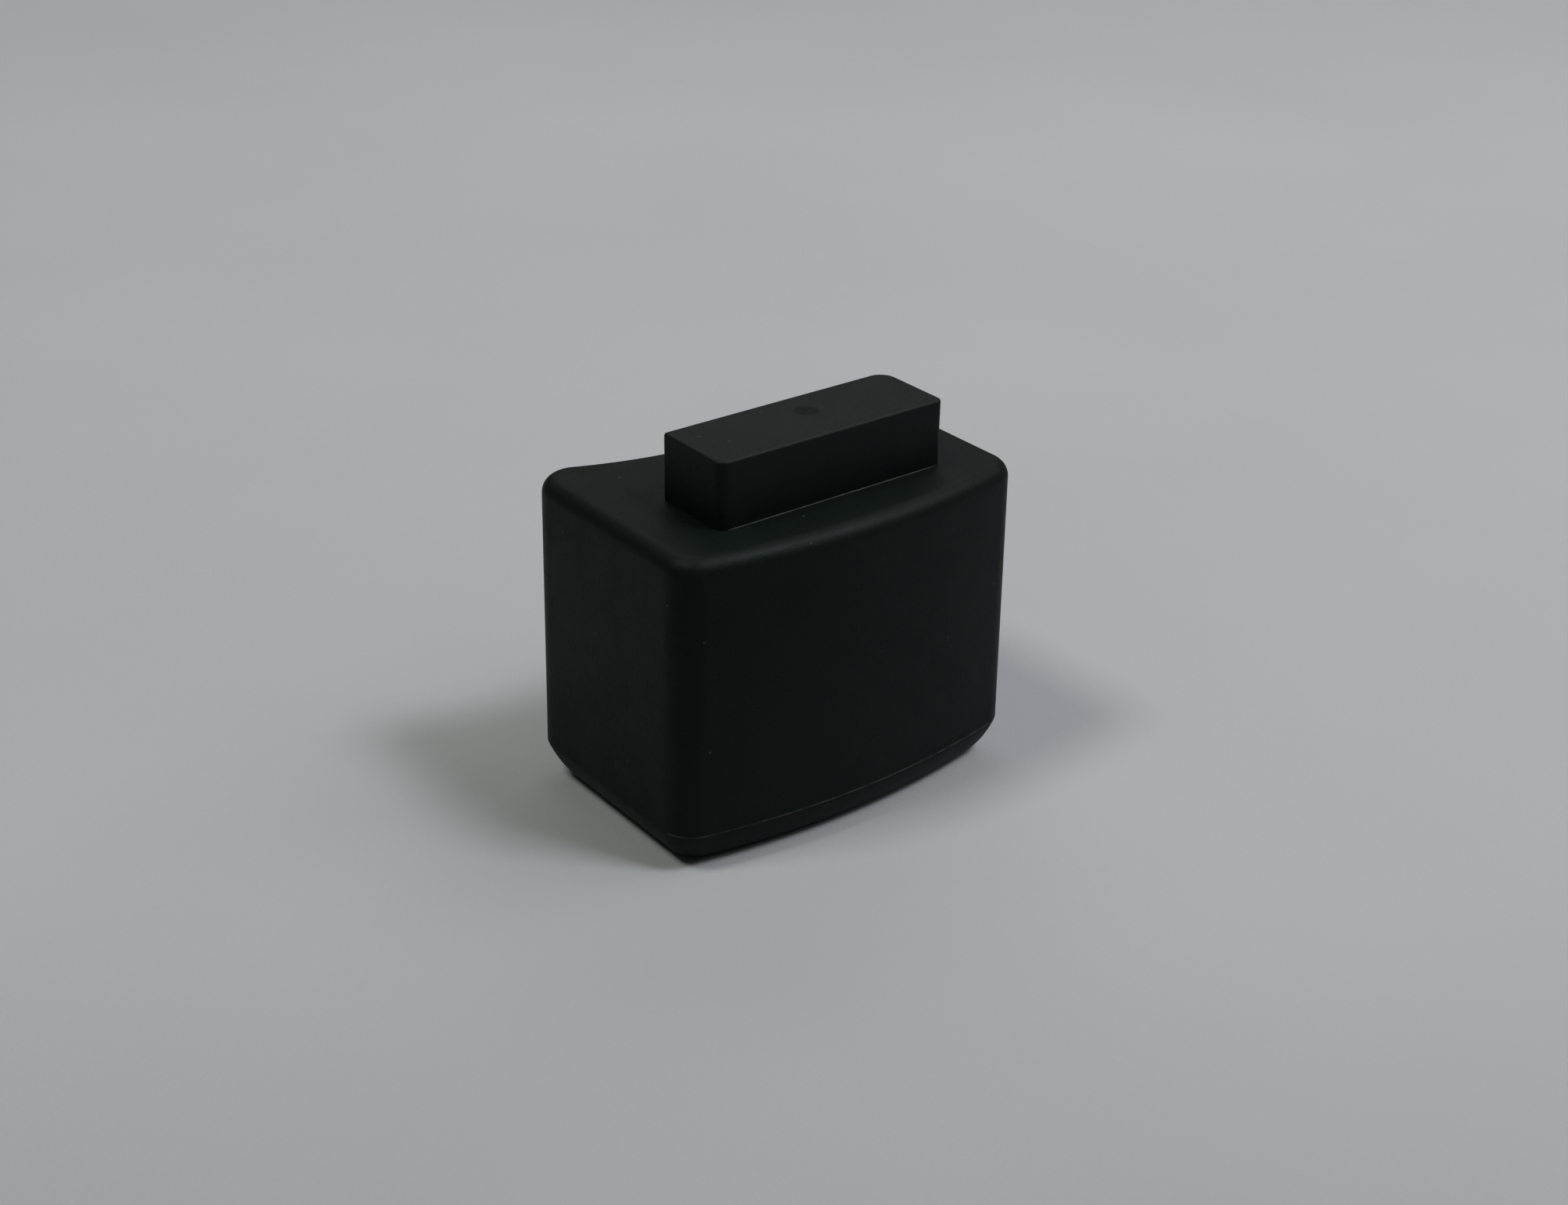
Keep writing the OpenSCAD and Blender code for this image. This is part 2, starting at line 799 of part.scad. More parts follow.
housing();
tongue();
tongue_screws();
base_cover();
cover_screws();
end_panel();
battery_door();
battery_cell();
positive_contact();
negative_contact();
negative_spring();
main_board();
board_screws();
radio_module();
shield_can();
antenna_coil();
microcontroller();
crystal();
reservoir_capacitor();
trigger_thyristor();
chip_components();
channel_switch();
channel_dial();
pin_header();
control_board();
sync_jack();
power_switch();
power_knob();
test_switch();
switch_plunger();
test_button();
status_led();
light_pipe();
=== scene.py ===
"""Looks of a small radio receiver for a studio flash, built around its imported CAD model.

The scene is in metres. Shape functions work in millimetres, and mesh() scales them.
"""

import json
import math

import bpy
from mathutils import Matrix, Vector, noise


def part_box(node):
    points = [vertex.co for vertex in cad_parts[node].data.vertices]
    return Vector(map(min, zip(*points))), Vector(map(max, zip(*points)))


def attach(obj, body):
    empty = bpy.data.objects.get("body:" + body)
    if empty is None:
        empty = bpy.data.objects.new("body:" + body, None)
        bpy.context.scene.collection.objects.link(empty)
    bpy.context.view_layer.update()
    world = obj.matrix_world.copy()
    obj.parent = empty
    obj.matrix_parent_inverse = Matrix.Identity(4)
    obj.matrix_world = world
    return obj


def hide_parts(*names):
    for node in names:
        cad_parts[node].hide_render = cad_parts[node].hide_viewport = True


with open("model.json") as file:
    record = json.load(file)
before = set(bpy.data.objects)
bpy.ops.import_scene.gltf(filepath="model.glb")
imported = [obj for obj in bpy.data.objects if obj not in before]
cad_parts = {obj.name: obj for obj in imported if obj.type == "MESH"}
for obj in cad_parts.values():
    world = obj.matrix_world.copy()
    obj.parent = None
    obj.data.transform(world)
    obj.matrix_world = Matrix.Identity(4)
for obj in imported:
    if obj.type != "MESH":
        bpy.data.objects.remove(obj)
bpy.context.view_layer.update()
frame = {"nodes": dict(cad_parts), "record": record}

MM = 0.001
BODY = "receiver_body"


def node_box(name):
    low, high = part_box(name)
    return [v / MM for v in low], [v / MM for v in high]


# ---------------------------------------------------------------- body outline, mm
FRONT_R, BACK_R = 100, 50
CORNER_R = 4.2
MID_DEPTH = 30
TOP_ROUND = 2
END_TAPER = 0.6
WALL, TOP_WALL = 2.2, 4
LIP_IN, LIP_BEND, LIP_CORNER_R = 3.9, 1.8, 2.2
LIP_SHRINK = (CORNER_R - LIP_CORNER_R) / LIP_IN
LIP_LEVELS = 22
BASE_T = 2.6
RIM_GAP, RIM_WALL, RIM_SIDE_H, RIM_H, RIM_EASE = 0.1, 1.4, 3.2, 3.4, 0.2
RIM_OUT = WALL + RIM_GAP
RIM_IN = RIM_OUT + RIM_WALL
SKIN = 0.05  # how far the visual wall stays inside the CAD wall
UNEVEN = 0.013  # depth of the slow unevenness of the moulded walls
WAVE_LONG, WAVE_SHORT, WAVE_SHIFT = 13, 4.6, Vector((7, 3, 1))

(_, _, SEAM_Z), (body_right, HALF_DEPTH, BODY_H) = node_box("housing")
HALF_LENGTH = body_right - END_TAPER * (0.5 - SEAM_Z / BODY_H)
INNER_X = HALF_LENGTH - WALL
FRONT_STEPS, CORNER_STEPS, END_STEPS, BACK_STEPS = 84, 18, 34, 84
TURN_STEPS, FINE_TURN_STEPS, BAY_STEPS = 48, 64, 96
ROUND_STEPS = 10
PAST = 1  # how far a cutter runs past the surface that it opens
BITE = 0.01  # how far a piece runs into the one that it joins
FAR = 60  # well outside the object
SHARP_SHELL, SHARP_TONGUE = 28, 40  # edges above these angles stay sharp, degrees


def arc(centre, r, start, end, steps):
    points = []
    for i in range(steps):
        a = math.radians(start + (end - start) * i / steps)
        points.append((centre[0] + r * math.cos(a), centre[1] + r * math.sin(a)))
    return points


def straight(start, end, steps):
    return [(start[0] + (end[0] - start[0]) * i / steps,
             start[1] + (end[1] - start[1]) * i / steps) for i in range(steps)]


def plan(inset, shrink=1.0):
    """Outline of the body seen from above, moved inwards by inset.

    shrink is how much of the inset the corner radius loses. Below 1 the corners stay rounder.
    """
    r = CORNER_R - inset * shrink
    x = HALF_LENGTH - inset - r
    front_reach, back_reach = FRONT_R - inset - r, BACK_R + inset + r
    f = FRONT_R - math.sqrt(front_reach ** 2 - x ** 2) - HALF_DEPTH
    b = MID_DEPTH + BACK_R - math.sqrt(back_reach ** 2 - x ** 2) - HALF_DEPTH
    front_turn = math.degrees(math.asin(x / front_reach))
    back_turn = math.degrees(math.asin(x / back_reach))
    return (arc((0, FRONT_R - HALF_DEPTH), FRONT_R - inset,
                -90 - front_turn, -90 + front_turn, FRONT_STEPS)
            + arc((x, f), r, -90 + front_turn, 0, CORNER_STEPS)
            + straight((x + r, f), (x + r, b), END_STEPS)
            + arc((x, b), r, 0, 90 + back_turn, CORNER_STEPS)
            + arc((0, MID_DEPTH + BACK_R - HALF_DEPTH), BACK_R + inset,
                  -90 + back_turn, -90 - back_turn, BACK_STEPS)
            + arc((-x, b), r, 90 - back_turn, 180, CORNER_STEPS)
            + straight((-x - r, b), (-x - r, f), END_STEPS)
            + arc((-x, f), r, 180, 270 - front_turn, CORNER_STEPS))


def taper(z):
    return 1 + END_TAPER * (0.5 - z / BODY_H) / HALF_LENGTH


def wander(x, y, z, depth):
    """Slow unevenness of a moulded wall, from 0 to depth."""
    at = Vector((x, y, z))
    n = noise.noise(at / WAVE_LONG) + 0.5 * noise.noise(at / WAVE_SHORT + WAVE_SHIFT)
    return depth * min(1, max(0, 0.5 + 0.5 * n))


def ring(inset, z, uneven=0.0, tapered=True, shrink=1.0):
    """The outline at a height. uneven pushes each point further in by a slow noise."""
    scale = taper(z) if tapered else 1
    outer, inner = plan(inset, shrink), plan(inset + 1, shrink)
    points = []
    for (x, y), (u, v) in zip(outer, inner):
        k = wander(x, y, z, uneven) if uneven else 0
        points.append(((x + (u - x) * k) * scale, y + (v - y) * k, z))
    return points


def lip(t):
    """Inset and height along the lip's curve, from the seam at 0 to the base at 1."""
    return 2 * t * (1 - t) * LIP_BEND + t * t * LIP_IN, (1 - t) ** 2 * SEAM_Z


# ---------------------------------------------------------------- mesh helpers
def mesh(name, points, faces):
    data = bpy.data.meshes.new(name)
    data.from_pydata([(x * MM, y * MM, z * MM) for x, y, z in points], [], faces)
    data.validate()
    made = bpy.data.objects.new(name, data)
    bpy.context.scene.collection.objects.link(made)
    return made


def loft(name, rings):
    """A closed skin over rings of equally many points, with a flat cap at each end."""
    n = len(rings[0])
    faces = [tuple(reversed(range(n)))]
    for k in range(len(rings) - 1):
        for i in range(n):
            j = (i + 1) % n
            faces.append((k * n + i, k * n + j, (k + 1) * n + j, (k + 1) * n + i))
    last = (len(rings) - 1) * n
    faces.append(tuple(last + i for i in range(n)))
    return mesh(name, [p for r in rings for p in r], faces)


def rounded(length, depth, radii, steps=ROUND_STEPS, along=(1, 1)):
    """A rectangle around the origin. radii are for its corners, anticlockwise from low x, y.

    along is how many pieces the two long sides and the two short sides are cut into.
    """
    corners = []
    for (sx, sy, start), r in zip(((-1, -1, 180), (1, -1, 270), (1, 1, 0), (-1, 1, 90)), radii):
        cx, cy = sx * (length / 2 - r), sy * (depth / 2 - r)
        corners.append([(cx + r * math.cos(math.radians(start + 90 * i / steps)),
                         cy + r * math.sin(math.radians(start + 90 * i / steps)))
                        for i in range(steps + 1)])
    points = []
    for k, corner in enumerate(corners):
        points += corner
        points += straight(corner[-1], corners[(k + 1) % 4][0], along[k % 2])[1:]
    return points


def turned(name, profile, place, steps=TURN_STEPS):
    """A solid of revolution from (radius, height) pairs. place maps its points."""
    rings = []
    for r, h in profile:
        rings.append([place(r * math.cos(2 * math.pi * i / steps),
                            r * math.sin(2 * math.pi * i / steps), h)
                      for i in range(steps)])
    return loft(name, rings)


def along_z(x, y, z):
    """A place() for turned(), with its axis along +Z through x, y, z."""
    return lambda u, v, h: (x + u, y + v, z + h)


def along_x(x, y, z):
    return lambda u, v, h: (x + h, y + u, z + v)


def block(x, y, z):
    corners = [(x[0], y[0]), (x[1], y[0]), (x[1], y[1]), (x[0], y[1])]
    return loft("block", [[(u, v, h) for u, v in corners] for h in z])


def around(middle, width):
    return middle - width / 2, middle + width / 2


def combine(target, others, operation):
    """Applies a boolean of each other object to target, and removes the others."""
    for other in others:
        step = target.modifiers.new("combine", "BOOLEAN")
        step.operation, step.solver, step.object = operation, "EXACT", other
        bpy.context.view_layer.update()
        graph = bpy.context.evaluated_depsgraph_get()
        made = bpy.data.meshes.new_from_object(target.evaluated_get(graph))
        target.modifiers.clear()
        target.data = made
        bpy.data.objects.remove(other)
    return target


def shade(target, angle=32):
    target.data.shade_smooth()
    target.data.set_sharp_from_angle(angle=math.radians(angle))


def finished(target, material, node, body, angle=32):
    shade(target, angle)
    target.data.materials.clear()
    target.data.materials.append(material)
    target.name = node + "_skin"
    target.data.name = target.name
    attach(target, body)
    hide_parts(node)
    return target


# ---------------------------------------------------------------- camera
LENS_PX = 2868.0
FRAME_W = 2004
camera_at = Vector((-0.14854, -0.19068, 0.14714))
YAW, PITCH, ROLL = (math.radians(a) for a in (37.987, 27.276, 0.931))
back = Vector((-math.sin(YAW) * math.cos(PITCH), -math.cos(YAW) * math.cos(PITCH),
               math.sin(PITCH)))
right = (-back).cross(Vector((0, 0, 1))).normalized()
up = back.cross(right)
tilted_right = right * math.cos(ROLL) + up * math.sin(ROLL)
tilted_up = up * math.cos(ROLL) - right * math.sin(ROLL)
camera_data = bpy.data.cameras.new("camera")
camera_data.sensor_width = 36
camera_data.lens = LENS_PX / FRAME_W * camera_data.sensor_width
camera_data.clip_start, camera_data.clip_end = 0.01, 20
camera = bpy.data.objects.new("camera", camera_data)
bpy.context.scene.collection.objects.link(camera)
turn = Matrix((tilted_right, tilted_up, back)).transposed().to_4x4()
camera.matrix_world = Matrix.Translation(camera_at) @ turn
bpy.context.scene.camera = camera


# ---------------------------------------------------------------- materials
class Shader:
    """Adds and links the nodes of one material. Scales are per metre, distances in metres."""

    def __init__(self, name):
        self.material = bpy.data.materials.new(name)
        self.material.use_nodes = True
        self.tree = self.material.node_tree
        self.principled = self.tree.nodes["Principled BSDF"]

    def node(self, kind, **values):
        made = self.tree.nodes.new(kind)
        for key, value in values.items():
            setattr(made, key, value)
        return made

    def link(self, source, target):
        self.tree.links.new(source, target)

    def coords(self):
        return self.node("ShaderNodeTexCoord").outputs["Object"]

    def noise(self, scale, detail=4.0, roughness=0.55, distortion=0.0):
        made = self.node("ShaderNodeTexNoise")
        made.inputs["Scale"].default_value = scale
        made.inputs["Detail"].default_value = detail
        made.inputs["Roughness"].default_value = roughness
        made.inputs["Distortion"].default_value = distortion
        self.link(self.coords(), made.inputs["Vector"])
        return made.outputs["Fac"]

    def cells(self, scale, feature="F1"):
        made = self.node("ShaderNodeTexVoronoi", feature=feature)
        made.inputs["Scale"].default_value = scale
        self.link(self.coords(), made.inputs["Vector"])
        return made

    def ramp(self, value, stops, interpolation="LINEAR"):
        made = self.node("ShaderNodeValToRGB")
        made.color_ramp.interpolation = interpolation
        while len(made.color_ramp.elements) < len(stops):
            made.color_ramp.elements.new(0.5)
        for element, (place, colour) in zip(made.color_ramp.elements, stops):
            element.position = place
            element.color = (*colour, 1) if len(colour) == 3 else colour
        self.link(value, made.inputs["Fac"])
        return made.outputs["Color"]

    def span(self, value, low, high, to_low, to_high, smooth=False):
        made = self.node("ShaderNodeMapRange")
        if smooth:
            made.interpolation_type = "SMOOTHSTEP"
        for socket, number in zip(("From Min", "From Max", "To Min", "To Max"),
                                  (low, high, to_low, to_high)):
            made.inputs[socket].default_value = number
        self.link(value, made.inputs["Value"])
        return made.outputs["Result"]

    def math(self, operation, a, b):
        made = self.node("ShaderNodeMath", operation=operation)
        for socket, value in zip(made.inputs, (a, b)):
            if isinstance(value, (int, float)):
                socket.default_value = value
            else:
                self.link(value, socket)
        return made.outputs["Value"]

    def mix(self, amount, a, b):
        made = self.node("ShaderNodeMix", data_type="RGBA")
        self.link(amount, made.inputs["Factor"])
        sockets = [s for s in made.inputs if s.type == "RGBA"]
        for socket, value in zip(sockets, (a, b)):
            if isinstance(value, tuple):
                socket.default_value = (*value, 1)
            else:
                self.link(value, socket)
        return [s for s in made.outputs if s.type == "RGBA"][0]

    def bump(self, height, distance, strength=1.0, base=None):
        made = self.node("ShaderNodeBump")
        made.inputs["Distance"].default_value = distance
        made.inputs["Strength"].default_value = strength
        self.link(height, made.inputs["Height"])
        if base is not None:
            self.link(base, made.inputs["Normal"])
        return made.outputs["Normal"]

    def set(self, **values):
        for key, value in values.items():
            socket = self.principled.inputs[key.replace("_", " ")]
            if hasattr(value, "is_linked") or hasattr(value, "links"):
                self.link(value, socket)
            elif isinstance(value, tuple):
                socket.default_value = (*value, 1)
            else:
                socket.default_value = value
        return self.material


RUBBER_DARK, RUBBER_LIGHT = (0.0021, 0.0041, 0.0033), (0.0029, 0.0055, 0.0045)
RUBBER_TINT = (0.875, 1.0, 0.965)
RUBBER_ROUGH = (0.50, 0.57)
# The third colour is a painted highlight along the moulding flash
DUST, SPARK, FLASH_HIGHLIGHT = (0.085, 0.088, 0.082), (0.085, 0.092, 0.088), (0.10, 0.105, 0.10)
DUST_AMOUNT, SPARK_AMOUNT, GATE_ROUGHER = 0.4, 0.16, 0.34


def grained_black(name, shine, flash=None, gate=None):
    """Matt black moulded rubber: fine grain, faint blotches, dust, and a painted highlight along a
    flash line.

    shine is the specular level.
    flash is (height, half width, furthest y, strength) of a painted highlight along a line of
    moulding flash, in metres.
    gate is the place and radius of a rougher gate mark, in metres.
    """
    s = Shader(name)
    blotch = s.noise(95, 3)
    grain = s.noise(4200, 2, 0.6)
    colour = s.ramp(blotch, [(0.3, RUBBER_DARK), (0.72, RUBBER_LIGHT)])
    specks = s.cells(620)
    wanted = s.math("GREATER_THAN", specks.outputs["Color"], 0.8)
    near = s.span(specks.outputs["Distance"], 0.05, 0.11, 1, 0, smooth=True)
    dust = s.math("MULTIPLY", near, wanted)
    dust = s.math("MULTIPLY", dust, DUST_AMOUNT)
    colour = s.mix(dust, colour, DUST)
    sparks = s.cells(2300)
    wanted = s.math("GREATER_THAN", sparks.outputs["Color"], 0.7)
    near = s.span(sparks.outputs["Distance"], 0.08, 0.2, SPARK_AMOUNT, 0, smooth=True)
    colour = s.mix(s.math("MULTIPLY", near, wanted), colour, SPARK)
    # Painted highlight: a paler, broken line on the crest of the moulding flash, on the front only
    if flash:
        place, half_width, back_y, strength = flash
        axes = s.node("ShaderNodeSeparateXYZ")
        s.link(s.coords(), axes.inputs["Vector"])
        away = s.math("ABSOLUTE", s.math("SUBTRACT", axes.outputs["Z"], place), 0)
        line = s.span(away, half_width * 0.6, half_width * 0.9, 1, 0)
        front = s.math("LESS_THAN", axes.outputs["Y"], back_y)
        broken = s.span(s.noise(420, 2), 0.38, 0.6, 0.25 * strength, strength)
        line = s.math("MULTIPLY", s.math("MULTIPLY", line, front), broken)
        colour = s.mix(line, colour, FLASH_HIGHLIGHT)
    rough = s.span(s.noise(260, 5), 0.3, 0.7, *RUBBER_ROUGH)
    if gate:
        place, radius = gate
        gap = s.node("ShaderNodeVectorMath", operation="DISTANCE")
        s.link(s.coords(), gap.inputs[0])
        gap.inputs[1].default_value = place
        mark = s.span(gap.outputs["Value"], radius * 0.7, radius, GATE_ROUGHER, 0,
                      smooth=True)
        mottled = s.span(s.noise(1500, 2), 0.35, 0.65, 0.5, 1)
        rough = s.math("ADD", rough, s.math("MULTIPLY", mark, mottled))
    pits = s.bump(grain, 0.00004, 0.8)
    waves = s.bump(s.noise(1500, 3, 0.6), 0.00005, 0.5, pits)
    return s.set(Base_Color=colour, Roughness=rough, Normal=waves, Specular_IOR_Level=shine,
                 Specular_Tint=RUBBER_TINT)


def moulded(name, dark, light, rough=(0.38, 0.5), scale=900, bump=0.00001, specular=0.5,
            **extra):
    s = Shader(name)
    colour = s.ramp(s.noise(scale * 0.15, 4), [(0.3, dark), (0.7, light)])
    roughness = s.span(s.noise(scale * 0.4, 4), 0.3, 0.7, *rough)
    fine = s.bump(s.noise(scale * 4, 2), bump, 0.6)
    return s.set(Base_Color=colour, Roughness=roughness, Normal=fine,
                 Specular_IOR_Level=specular, **extra)


LINE_SCALE, CROSS_SCALE = 90, 2600


def plated(name, dark, light, rough=(0.22, 0.38), along="X"):
    """Drawn or rolled metal with faint lines along one axis."""
    s = Shader(name)
    stretch = s.node("ShaderNodeMapping")
    stretch.inputs["Scale"].default_value = [LINE_SCALE if axis == along else CROSS_SCALE
                                             for axis in "XYZ"]
    s.link(s.coords(), stretch.inputs["Vector"])
    lines = s.node("ShaderNodeTexNoise")
    lines.inputs["Scale"].default_value = 1
    lines.inputs["Detail"].default_value = 3
    s.link(stretch.outputs["Vector"], lines.inputs["Vector"])
    colour = s.ramp(s.noise(400, 4), [(0.3, dark), (0.7, light)])
    roughness = s.span(lines.outputs["Fac"], 0.3, 0.7, *rough)
    scratch = s.bump(lines.outputs["Fac"], 0.000004, 0.5)
    return s.set(Base_Color=colour, Roughness=roughness, Normal=scratch, Metallic=1.0)


def laminate(name, dark, light):
    """Solder mask over a board: tracks show as faint raised lines under the gloss."""
    s = Shader(name)
    tracks = s.node("ShaderNodeTexBrick", offset=0.5)
    tracks.inputs["Scale"].default_value = 330
    tracks.inputs["Mortar Size"].default_value = 0.06
    tracks.inputs["Color1"].default_value = (*dark, 1)
    tracks.inputs["Color2"].default_value = (*dark, 1)
    tracks.inputs["Mortar"].default_value = (*light, 1)
    s.link(s.coords(), tracks.inputs["Vector"])
    weave = s.noise(3000, 2)
    raised = s.bump(tracks.outputs["Fac"], 0.00003, 0.5)
    roughness = s.span(weave, 0.3, 0.7, 0.24, 0.36)
    return s.set(Base_Color=tracks.outputs["Color"], Roughness=roughness, Normal=raised)


materials = {
    "panel_plastic": moulded("panel_plastic", (0.010, 0.011, 0.012), (0.016, 0.017, 0.018),
                             (0.42, 0.55), 1400, 0.00002, 0.4),
    "steel": plated("steel", (0.50, 0.51, 0.53), (0.66, 0.67, 0.69), (0.25, 0.42)),
    "cell_sleeve": moulded("cell_sleeve", (0.44, 0.27, 0.05), (0.52, 0.33, 0.07),
                           (0.25, 0.34), 500, 0.000004),
    "contact_brass": plated("contact_brass", (0.62, 0.44, 0.16), (0.78, 0.60, 0.28),
                            (0.2, 0.34), "Z"),
    "board_laminate": laminate("board_laminate", (0.010, 0.110, 0.045), (0.030, 0.190, 0.085)),
    "module_laminate": laminate("module_laminate", (0.010, 0.045, 0.150), (0.03, 0.09, 0.25)),
    "can_steel": plated("can_steel", (0.56, 0.57, 0.58), (0.70, 0.71, 0.72), (0.22, 0.34)),
    "chip_plastic": moulded("chip_plastic", (0.012, 0.012, 0.013), (0.022, 0.022, 0.024),
                            (0.45, 0.6), 1800, 0.00001, 0.4),
    "chip_ceramic": moulded("chip_ceramic", (0.24, 0.16, 0.09), (0.34, 0.24, 0.15),
                            (0.45, 0.6), 2500),
    "capacitor_sleeve": moulded("capacitor_sleeve", (0.012, 0.030, 0.10), (0.02, 0.05, 0.15),
                                (0.2, 0.3), 700, 0.000004),
    "switch_blue": moulded("switch_blue", (0.012, 0.055, 0.20), (0.02, 0.08, 0.26),
                           (0.3, 0.42), 900),
    "dial_white": moulded("dial_white", (0.58, 0.58, 0.55), (0.68, 0.68, 0.66),
                          (0.38, 0.5), 900),
    "knob_grey": moulded("knob_grey", (0.26, 0.27, 0.28), (0.34, 0.35, 0.36),
                         (0.4, 0.52), 1200),
    "button_red": moulded("button_red", (0.33, 0.016, 0.013), (0.42, 0.022, 0.018),
                          (0.34, 0.46), 1000),
    "led_clear": moulded("led_clear", (0.45, 0.66, 0.46), (0.55, 0.76, 0.56),
                         (0.16, 0.24), 900, 0.000003, Transmission_Weight=0.35),
    "pipe_clear": moulded("pipe_clear", (0.66, 0.72, 0.70), (0.76, 0.82, 0.80),
                          (0.08, 0.16), 700, 0.000003, Transmission_Weight=0.7),
}
tongue_low, tongue_high = node_box("tongue")
tongue_x = (tongue_low[0] + tongue_high[0]) / 2
tongue_y = (tongue_low[1] + tongue_high[1]) / 2
GATE = (tongue_x + 1, tongue_y + 1.2)
GATE_MARK_R = 0.0016
FLASH_H = 0.16
# Painted highlights along the flash at the seam and at the tongue's foot
SEAM_FLASH_HIGHLIGHT = ((SEAM_Z + FLASH_H / 2) * MM, FLASH_H * MM, -0.0115, 0.35)
TONGUE_FLASH_HIGHLIGHT = ((BODY_H + 0.05) * MM, 0.00008, (tongue_low[1] + 2.05) * MM, 0.5)
rubber = {
    "housing": grained_black("housing_rubber", 0.112, SEAM_FLASH_HIGHLIGHT),
    "tongue": grained_black("tongue_rubber", 0.152, TONGUE_FLASH_HIGHLIGHT,
                            ((GATE[0] * MM, GATE[1] * MM, tongue_high[2] * MM), GATE_MARK_R)),
    "base": grained_black("base_rubber", 0.085),
}

# ---------------------------------------------------------------- housing
TONGUE_L, TONGUE_D, TONGUE_R = 32.4, 11, 1.5
FLANGE_Z = tongue_low[2]
SHOULDER_Z = BODY_H - TOP_WALL
TONGUE_SCREW_X = TONGUE_L / 2 + 1.9
TONGUE_RADII, LEAST_RADIUS = (1.5, 0.9, 2.2, 0.45), 0.06
TONGUE_CUTS = (64, 22)
NIB_BAND, NIB_X, NIB_SCALE, NIB_START = 0.7, (-14.5, -1), 1.7, 0.12
FLARE_BAND, FLARE_END = 0.02, 1.3
# (inset, share of FLASH_H) of the ridge of flash above the seam, which fades out over RIDGE_FADE
RIDGE = ((0.035, 0.12), (0.02, 0.32), (0.02, 0.5), (0.035, 0.78))
RIDGE_X, RIDGE_FADE = (-20, 22), 3
WALL_LEVELS, TOP_LEVELS = 38, 12
ROOF_INSETS = (2.12, 2.3, 2.8, 3.6)


def tongue_ring(inset, z, nibs=0.0):
    """Outline of the tongue. nibs raises bits of flash along the left half of the back edge."""
    outline = rounded(TONGUE_L - 2 * inset, TONGUE_D - 2 * inset,
                      [max(LEAST_RADIUS, r - inset) for r in TONGUE_RADII], ROUND_STEPS,
                      TONGUE_CUTS)
    points = []
    for u, v in outline:
        lift = 0
        if nibs and v > TONGUE_D / 2 - NIB_BAND and NIB_X[0] < u < NIB_X[1]:
            lift = nibs * max(0, noise.noise(Vector((u * NIB_SCALE, 2, 5))) - NIB_START)
        points.append((tongue_x + u, tongue_y + v, z + lift))
    return points


def flare_ring(inset, z):
    """The tongue's outline with a line of flash that stands out along its straight front."""
    points = []
    for plain, proud in zip(tongue_ring(0, z), tongue_ring(inset, z)):
        k = 0
        if plain[1] < tongue_y - TONGUE_D / 2 + FLARE_BAND:
            k = min(1, max(0, TONGUE_L / 2 - FLARE_END - abs(plain[0] - tongue_x)))
        points.append([w + (p - w) * k for w, p in zip(plain, proud)])
    return points


def circle_ring(r, z, cx, cy):
    """A circle whose points lie in the directions of the tongue's outline points."""
    points = []
    for x, y, _ in tongue_ring(0, 0):
        a = math.atan2(y - cy, x - cx)
        points.append((cx + r * math.cos(a), cy + r * math.sin(a), z))
    return points


def ridge_ring(inset, z):
    """The wall's outline with the flash ridge on the front, which fades out at both ends."""
    points = []
    for wall, proud in zip(ring(SKIN, z), ring(inset, z)):
        k = 0
        if wall[1] < 0:
            k = min(1, max(0, (RIDGE_X[1] - wall[0]) / RIDGE_FADE),
                    max(0, (wall[0] - RIDGE_X[0]) / RIDGE_FADE))
        points.append([w + (p - w) * k for w, p in zip(wall, proud)])
    return points


def housing_rings():
    """From the inside of the roof down, under the wall and up over the outside."""
    inside = (SHOULDER_Z, SHOULDER_Z - 1, SEAM_Z + 1, SEAM_Z)
    rings = [ring(WALL, z, tapered=False) for z in inside] + [ring(SKIN, SEAM_Z)]
    for inset, share in RIDGE:
        rings.append(ridge_ring(inset, SEAM_Z + share * FLASH_H))
    wall_low, wall_top = SEAM_Z + FLASH_H, BODY_H - TOP_ROUND
    for i in range(WALL_LEVELS + 1):
        z = wall_low + (wall_top - wall_low) * i / WALL_LEVELS
        rings.append(ring(SKIN, z, UNEVEN if i else 0))
    for i in range(1, TOP_LEVELS + 1):
        a = math.radians(90 * i / TOP_LEVELS)
        flat = SKIN + (TOP_ROUND - SKIN) * (1 - math.cos(a))
        rings.append(ring(flat, wall_top + TOP_ROUND * math.sin(a), UNEVEN))
    for inset in ROOF_INSETS:
        rings.append(ring(inset, BODY_H, UNEVEN))
    return rings


PANEL_GAP, PANEL_CORNER, PANEL_LEDGE = 0.1, 2, 1.6
PANEL_MOST_GROWTH, PANEL_LEAST_R = 0.6, 0.1
# (growth, distance past the end wall) of the rounded mouth of the panel's pocket
POCKET_MOUTH = ((0, -0.24), (0.02, -0.16), (0.09, -0.08), (0.2, -SKIN), (1.2, 0.9))
POCKET_LEAST = 0.02
panel_low, panel_high = node_box("end_panel")
panel_mid = [(a + b) / 2 for a, b in zip(panel_low, panel_high)]


def panel_outline(grow):
    return rounded(panel_high[1] - panel_low[1] + 2 * grow,
                   panel_high[2] - panel_low[2] + 2 * grow,
                   [max(PANEL_LEAST_R, PANEL_CORNER + min(grow, PANEL_MOST_GROWTH))] * 4)


def end_wall(z):
    return HALF_LENGTH * taper(z)


